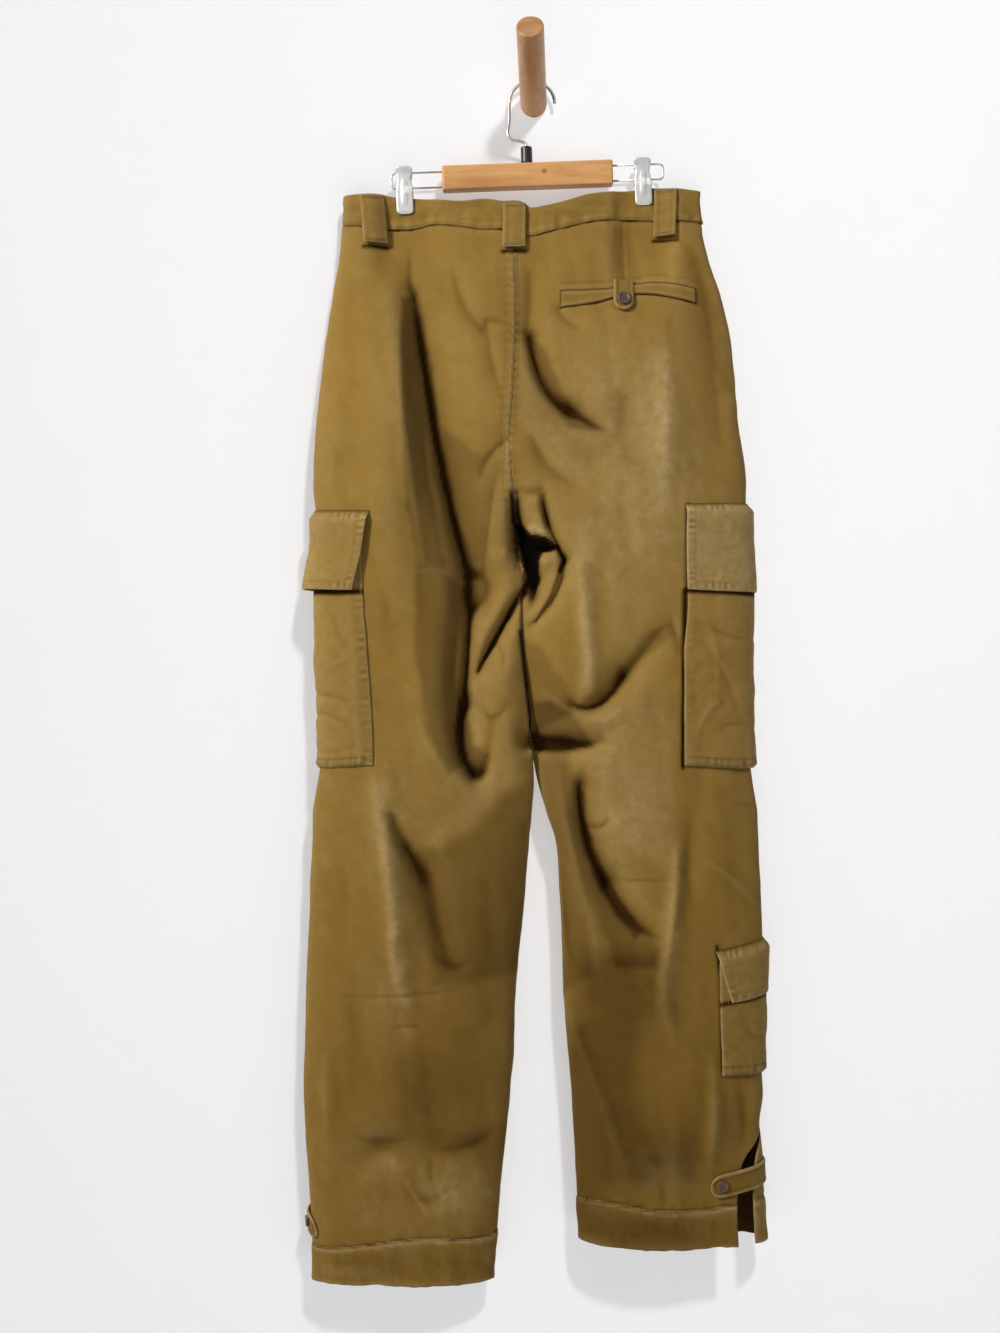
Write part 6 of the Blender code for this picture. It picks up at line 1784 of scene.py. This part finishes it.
# evenly spaced stitches along a path of places in mm, laid on the piece's surface
def sew(name, path, kind, pitch=stitch["pitch"], skip=0.0):
    run = runOf(path)
    at = np.arange(pitch / 2, run[-1], pitch)
    random = np.random.default_rng(len(path) + int(abs(path[0, 0] * 7 + path[0, 2] * 3)))
    at = at + random.uniform(-stitch["shift"], stitch["shift"], len(at)) * pitch
    keep = random.uniform(0, 1, len(at)) >= skip
    places = np.stack([np.interp(at, run, path[:, k]) for k in range(3)], axis=1) * mm
    found = [surfaceTree(name).find_nearest(Vector(place))[:2] for place in places]
    for i, (hit, normal) in enumerate(found):
        way = found[min(i + 1, len(found) - 1)][0] - found[max(i - 1, 0)][0]
        if keep[i] and way.length >= 1e-6:
            stitchPoints[kind].append((hit - normal * stitch["sink"] * mm, way.normalized(), normal))


# the line on a piece at a set distance in from one border: left, right, top or bottom
def borderLine(name, border, inset, trimStart=0.0, trimEnd=0.0):
    outer = pieces[name]["outer"]
    field = borderDistances(outer)[("left", "right", "top", "bottom").index(border)]
    if border in ("top", "bottom"):
        outer, field = outer.transpose(1, 0, 2), field.T
    way = 1 if border in ("left", "top") else -1
    line = np.array([[np.interp(inset, gaps[::way], places[::way, k]) for k in range(3)]
                     for gaps, places in zip(field, outer)])
    run = runOf(line)
    return line[(run >= trimStart) & (run <= run[-1] - trimEnd)]


# rows of border, inset, what is left off at both ends, thread, and then pitch and share left out
def sewBorders(names, *lines):
    for name in names:
        for border, inset, trimStart, trimEnd, *row in lines:
            sew(name, borderLine(name, border, inset, trimStart, trimEnd), *row)


sewBorders(("waistband_back", "waistband_front_left", "waistband_front_right"),
           ("top", 2.6, 2, 2, "plain"), ("bottom", 3.2, 2, 2, "dark"))
for name, half, layer in panelRows:
    edge = borderLine(name, "bottom", 40)
    sew(name, np.stack((edge[:, 0], edge[:, 1], hemSeam(edge[:, 0])), axis=1)[3:-3], "pale", 3.1, 0.06)
    side = borderLine(name, "left", 3.0)
    sew(name, side[side[:, 2] < (-420 if layer else -480)], "plain", skip=0.04)
for inset in (2.3, 6.2):
    felled = borderLine("back_left", "left", inset, 6)
    sew("back_left", felled[felled[:, 2] > -466], "dark", 3.0)
sewBorders([row[0] for row in pocketRows],
           *((border, inset, 4 if border == "bottom" else 20, trim, "plain", stitch["pitch"], 0.03)
             for inset, trim in ((1.9, 1.5), (8.3, 8.5)) for border in ("left", "right", "bottom")))
sewBorders([row[0] for row in flapRows],
           *((border, inset, inset, inset, "dark" if border == "top" else "plain", stitch["pitch"], 0.03)
             for inset in (1.9, 7.6) for border in ("left", "right", "bottom", "top")))
sewBorders([row[0] for row in loopRows],
           *((border, 5.4, 3, 3, "dark", 3.1) for border in ("left", "right")),
           *((border, inset, 1.5, 1.5, "dark", 1.6)
             for inset in (1.6, 3.2) for border in ("top", "bottom")))
sewBorders(("ankle_tab_left", "ankle_tab_right"), ("left", 3.6, 9, 1, "dark", 3.0),
           ("right", 3.6, 9, 1, "dark", 3.0))
sewBorders(("pocket_tab",), ("left", 3.2, 1, 8, "dark", 2.8), ("right", 3.2, 1, 8, "dark", 2.8))
sewBorders(("back_pocket_welt",), ("top", 1.6, 1, 1, "dark", 3.0), ("bottom", 1.5, 1, 1, "dark", 3.0))
for border, shift, kind in (("top", 1.9, "pale"), ("bottom", -2.4, "plain")):
    sew("back_right", borderLine("back_pocket_welt", border, 0.0) + np.array((0, 0, shift)), kind, 3.0,
        0.05)
sewBorders(("fly_placket",), ("right", 3.0, 3, 3, "plain"))
dartZ = np.linspace(-129, -192, 30)
sew("back_right", np.stack((dartAt(dartZ), dartZ * 0 - 40, dartZ), axis=1), "dark", 3.0)


def stitchTree():
    tree = bpy.data.node_groups.new("stitchRows", "GeometryNodeTree")
    for label, way, kind in (("Geometry", "INPUT", "Geometry"), ("Length", "INPUT", "Float"),
                             ("Width", "INPUT", "Float"), ("Seed", "INPUT", "Int"),
                             ("Thread", "INPUT", "Material"), ("Geometry", "OUTPUT", "Geometry")):
        tree.interface.new_socket(label, in_out=way, socket_type="NodeSocket" + kind)
    start = tree.nodes.new("NodeGroupInput").outputs
    bead = node(tree, "GeometryNodeMeshUVSphere",
                {"Segments": stitch["sides"], "Rings": stitch["rings"], "Radius": 0.5}).outputs["Mesh"]
    smooth = node(tree, "GeometryNodeSetShadeSmooth", {"Geometry": bead}).outputs["Geometry"]
    along, up = (node(tree, "GeometryNodeInputNamedAttribute", {"Name": key}, data_type="FLOAT_VECTOR")
                 .outputs["Attribute"] for key in ("along", "up"))
    turned = node(tree, "FunctionNodeAlignEulerToVector", {"Vector": along}, axis="X").outputs["Rotation"]
    turned = node(tree, "FunctionNodeAlignEulerToVector", {"Rotation": turned, "Vector": up}, axis="Z",
                  pivot_axis="X").outputs["Rotation"]
    vary = node(tree, "FunctionNodeRandomValue",
                {2: stitch["least"], 3: stitch["most"], "Seed": start["Seed"]},
                data_type="FLOAT").outputs[1]
    length = mathNode(tree, "MULTIPLY", start["Length"], vary)
    size = node(tree, "ShaderNodeCombineXYZ",
                {"X": length, "Y": start["Width"], "Z": start["Width"]}).outputs["Vector"]
    placed = node(tree, "GeometryNodeInstanceOnPoints",
                  {"Points": start["Geometry"], "Instance": smooth, "Rotation": turned,
                   "Scale": size}).outputs["Instances"]
    real = node(tree, "GeometryNodeRealizeInstances", {"Geometry": placed}).outputs["Geometry"]
    threaded = node(tree, "GeometryNodeSetMaterial", {"Geometry": real, "Material": start["Thread"]})
    node(tree, "NodeGroupOutput", {"Geometry": threaded.outputs["Geometry"]})
    return tree


def makeStitches(kind, material):
    points = stitchPoints[kind]
    data = bpy.data.meshes.new("stitchPlaces")
    data.from_pydata([tuple(place) for place, _, _ in points], [], [])
    for key, index in (("along", 1), ("up", 2)):
        values = np.array([tuple(row[index]) for row in points], dtype=np.float32)
        data.attributes.new(key, "FLOAT_VECTOR", "POINT").data.foreach_set("vector", values.ravel())
    carrier = placeObject("stitchPlaces", data)
    rows = carrier.modifiers.new("rows", "NODES")
    rows.node_group = stitchRowsTree
    values = {"Length": stitch["length"] * mm, "Width": stitch["width"] * mm, "Seed": stitch["seed"],
              "Thread": material}
    for socket in stitchRowsTree.interface.items_tree:
        if socket.in_out == "INPUT" and socket.name in values:
            rows[socket.identifier] = values[socket.name]
    bpy.context.view_layer.update()
    result = bpy.data.meshes.new_from_object(carrier.evaluated_get(bpy.context.evaluated_depsgraph_get()))
    bpy.data.objects.remove(carrier)
    result.name = "stitches_" + kind
    print("stitches", kind, len(points), len(result.polygons))
    return placeObject(result.name, result, *([] if result.materials else [material]))


stitchRowsTree = stitchTree()
stitchRows = [makeStitches(kind, material) for kind, material in threads.items()]


for name, piece in pieces.items():
    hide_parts(name)
    if piece["area"]:
        long, wide = piece["long"] * mm, piece["wide"] * mm
    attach(piece["object"], "root")
for item in stitchRows:
    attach(item, "root")


studio = {
    "wall": (0.80, 0.80, 0.81), "wallShade": 0.985, "wallTone": (2.2, 3.0, 0.5, 0.0, 0.3, 0.7),
    "wallRoughness": 0.9, "floorRoughness": 0.85,
    "reach": 4, "wallBehind": 0.002, "wallTop": 2.5, "floorLevel": -1.62, "aim": (0, 0, -0.6),
    "keyPower": 245.0, "keyPlace": (-3.15, -2.9, 1.9), "keySize": 1.1, "keyTint": (1.0, 0.985, 0.95),
    "fillPower": 24.0, "fillPlace": (0.9, -2.9, 2.6), "fillSize": 0.35, "washPower": 61.0,
    "glowPower": 62.0, "glowPlace": (0, -3.2, -0.3), "glowAim": (0, 0, -0.4), "glowSize": 2.5,
    "white": (1.0, 1.0, 1.0), "air": 0.12,
}
view = {"lens": 41.86, "sensor": 36.0, "place": (-0.03419, -1.582, -0.57512)}


def flatPiece(name, corners, material):
    data = bpy.data.meshes.new(name)
    data.from_pydata(corners, [], [(0, 1, 2, 3)])
    item = placeObject(name, data, material)
    return item


wallMaterial, wallTree, wallShader, wallPlace = startMaterial("wallPaint", studio["wallRoughness"])
setSockets(wallTree, wallShader, {"Base Color": mixColour(
    wallTree, patchNode(wallTree, wallPlace, studio["wallTone"]),
    shaded(studio["wall"], studio["wallShade"]),
    studio["wall"])})
# clear from behind, so that a view from there sees the pants
behind = node(wallTree, "ShaderNodeNewGeometry").outputs["Backfacing"]
clear = node(wallTree, "ShaderNodeBsdfTransparent").outputs[0]
seen = node(wallTree, "ShaderNodeMixShader", {0: behind, 1: wallShader.outputs[0], 2: clear}).outputs[0]
wallTree.links.new(seen, wallTree.nodes["Material Output"].inputs["Surface"])
floorMaterial, floorTree, floorShader, _ = startMaterial("floorPaint", studio["floorRoughness"])
setSockets(floorTree, floorShader, {"Base Color": (*studio["wall"], 1.0)})
reach, level, top, gap = (studio[key] for key in ("reach", "floorLevel", "wallTop", "wallBehind"))
wall = flatPiece("wall", [(-reach, gap, level), (reach, gap, level), (reach, gap, top),
                          (-reach, gap, top)],
                 wallMaterial)
floor = flatPiece("floor", [(-reach, -reach, level), (reach, -reach, level), (reach, reach, level),
                            (-reach, reach, level)], floorMaterial)


# a soft round light, which may shine on one group of pieces only
def softLight(name, place, target, power, size, tint=studio["white"], onlyOn=(), blockedBy=()):
    data = bpy.data.lights.new(name, "AREA")
    data.shape = "DISK"
    data.size = size
    data.energy = power
    data.color = tint
    item = bpy.data.objects.new(name, data)
    item.location = place
    item.rotation_euler = (Vector(target) - Vector(place)).to_track_quat("-Z", "Y").to_euler()
    bpy.context.collection.objects.link(item)
    for role, chosen in (("receiver", onlyOn), ("blocker", blockedBy)):
        if chosen:
            group = bpy.data.collections.new(name + role.capitalize() + "s")
            for piece in chosen:
                group.objects.link(piece)
            setattr(item.light_linking, role + "_collection", group)


shown = [piece["object"] for piece in pieces.values()] + stitchRows + keptPieces
softLight("key", studio["keyPlace"], studio["aim"], studio["keyPower"], studio["keySize"],
          studio["keyTint"], shown)
softLight("fill", studio["fillPlace"], studio["aim"], studio["fillPower"], studio["fillSize"])
softLight("glow", studio["glowPlace"], studio["glowAim"], studio["glowPower"], studio["glowSize"],
          onlyOn=[wall, floor], blockedBy=[floor])
softLight("wash", studio["fillPlace"], studio["aim"], studio["washPower"], studio["fillSize"],
          onlyOn=[wall, floor])
world = bpy.data.worlds.new("studio")
world.use_nodes = True
world.node_tree.nodes["Background"].inputs["Color"].default_value = (*studio["white"], 1.0)
world.node_tree.nodes["Background"].inputs["Strength"].default_value = studio["air"]
bpy.context.scene.world = world
bpy.context.scene.view_settings.view_transform = "Standard"

cameraData = bpy.data.cameras.new("camera")
cameraData.lens = view["lens"]
cameraData.sensor_width = view["sensor"]
camera = bpy.data.objects.new("camera", cameraData)
camera.location = view["place"]
camera.rotation_euler = (math.pi / 2, 0, 0)
bpy.context.collection.objects.link(camera)
bpy.context.scene.camera = camera
print("triangles", sum(piece["tris"] for piece in pieces.values()))
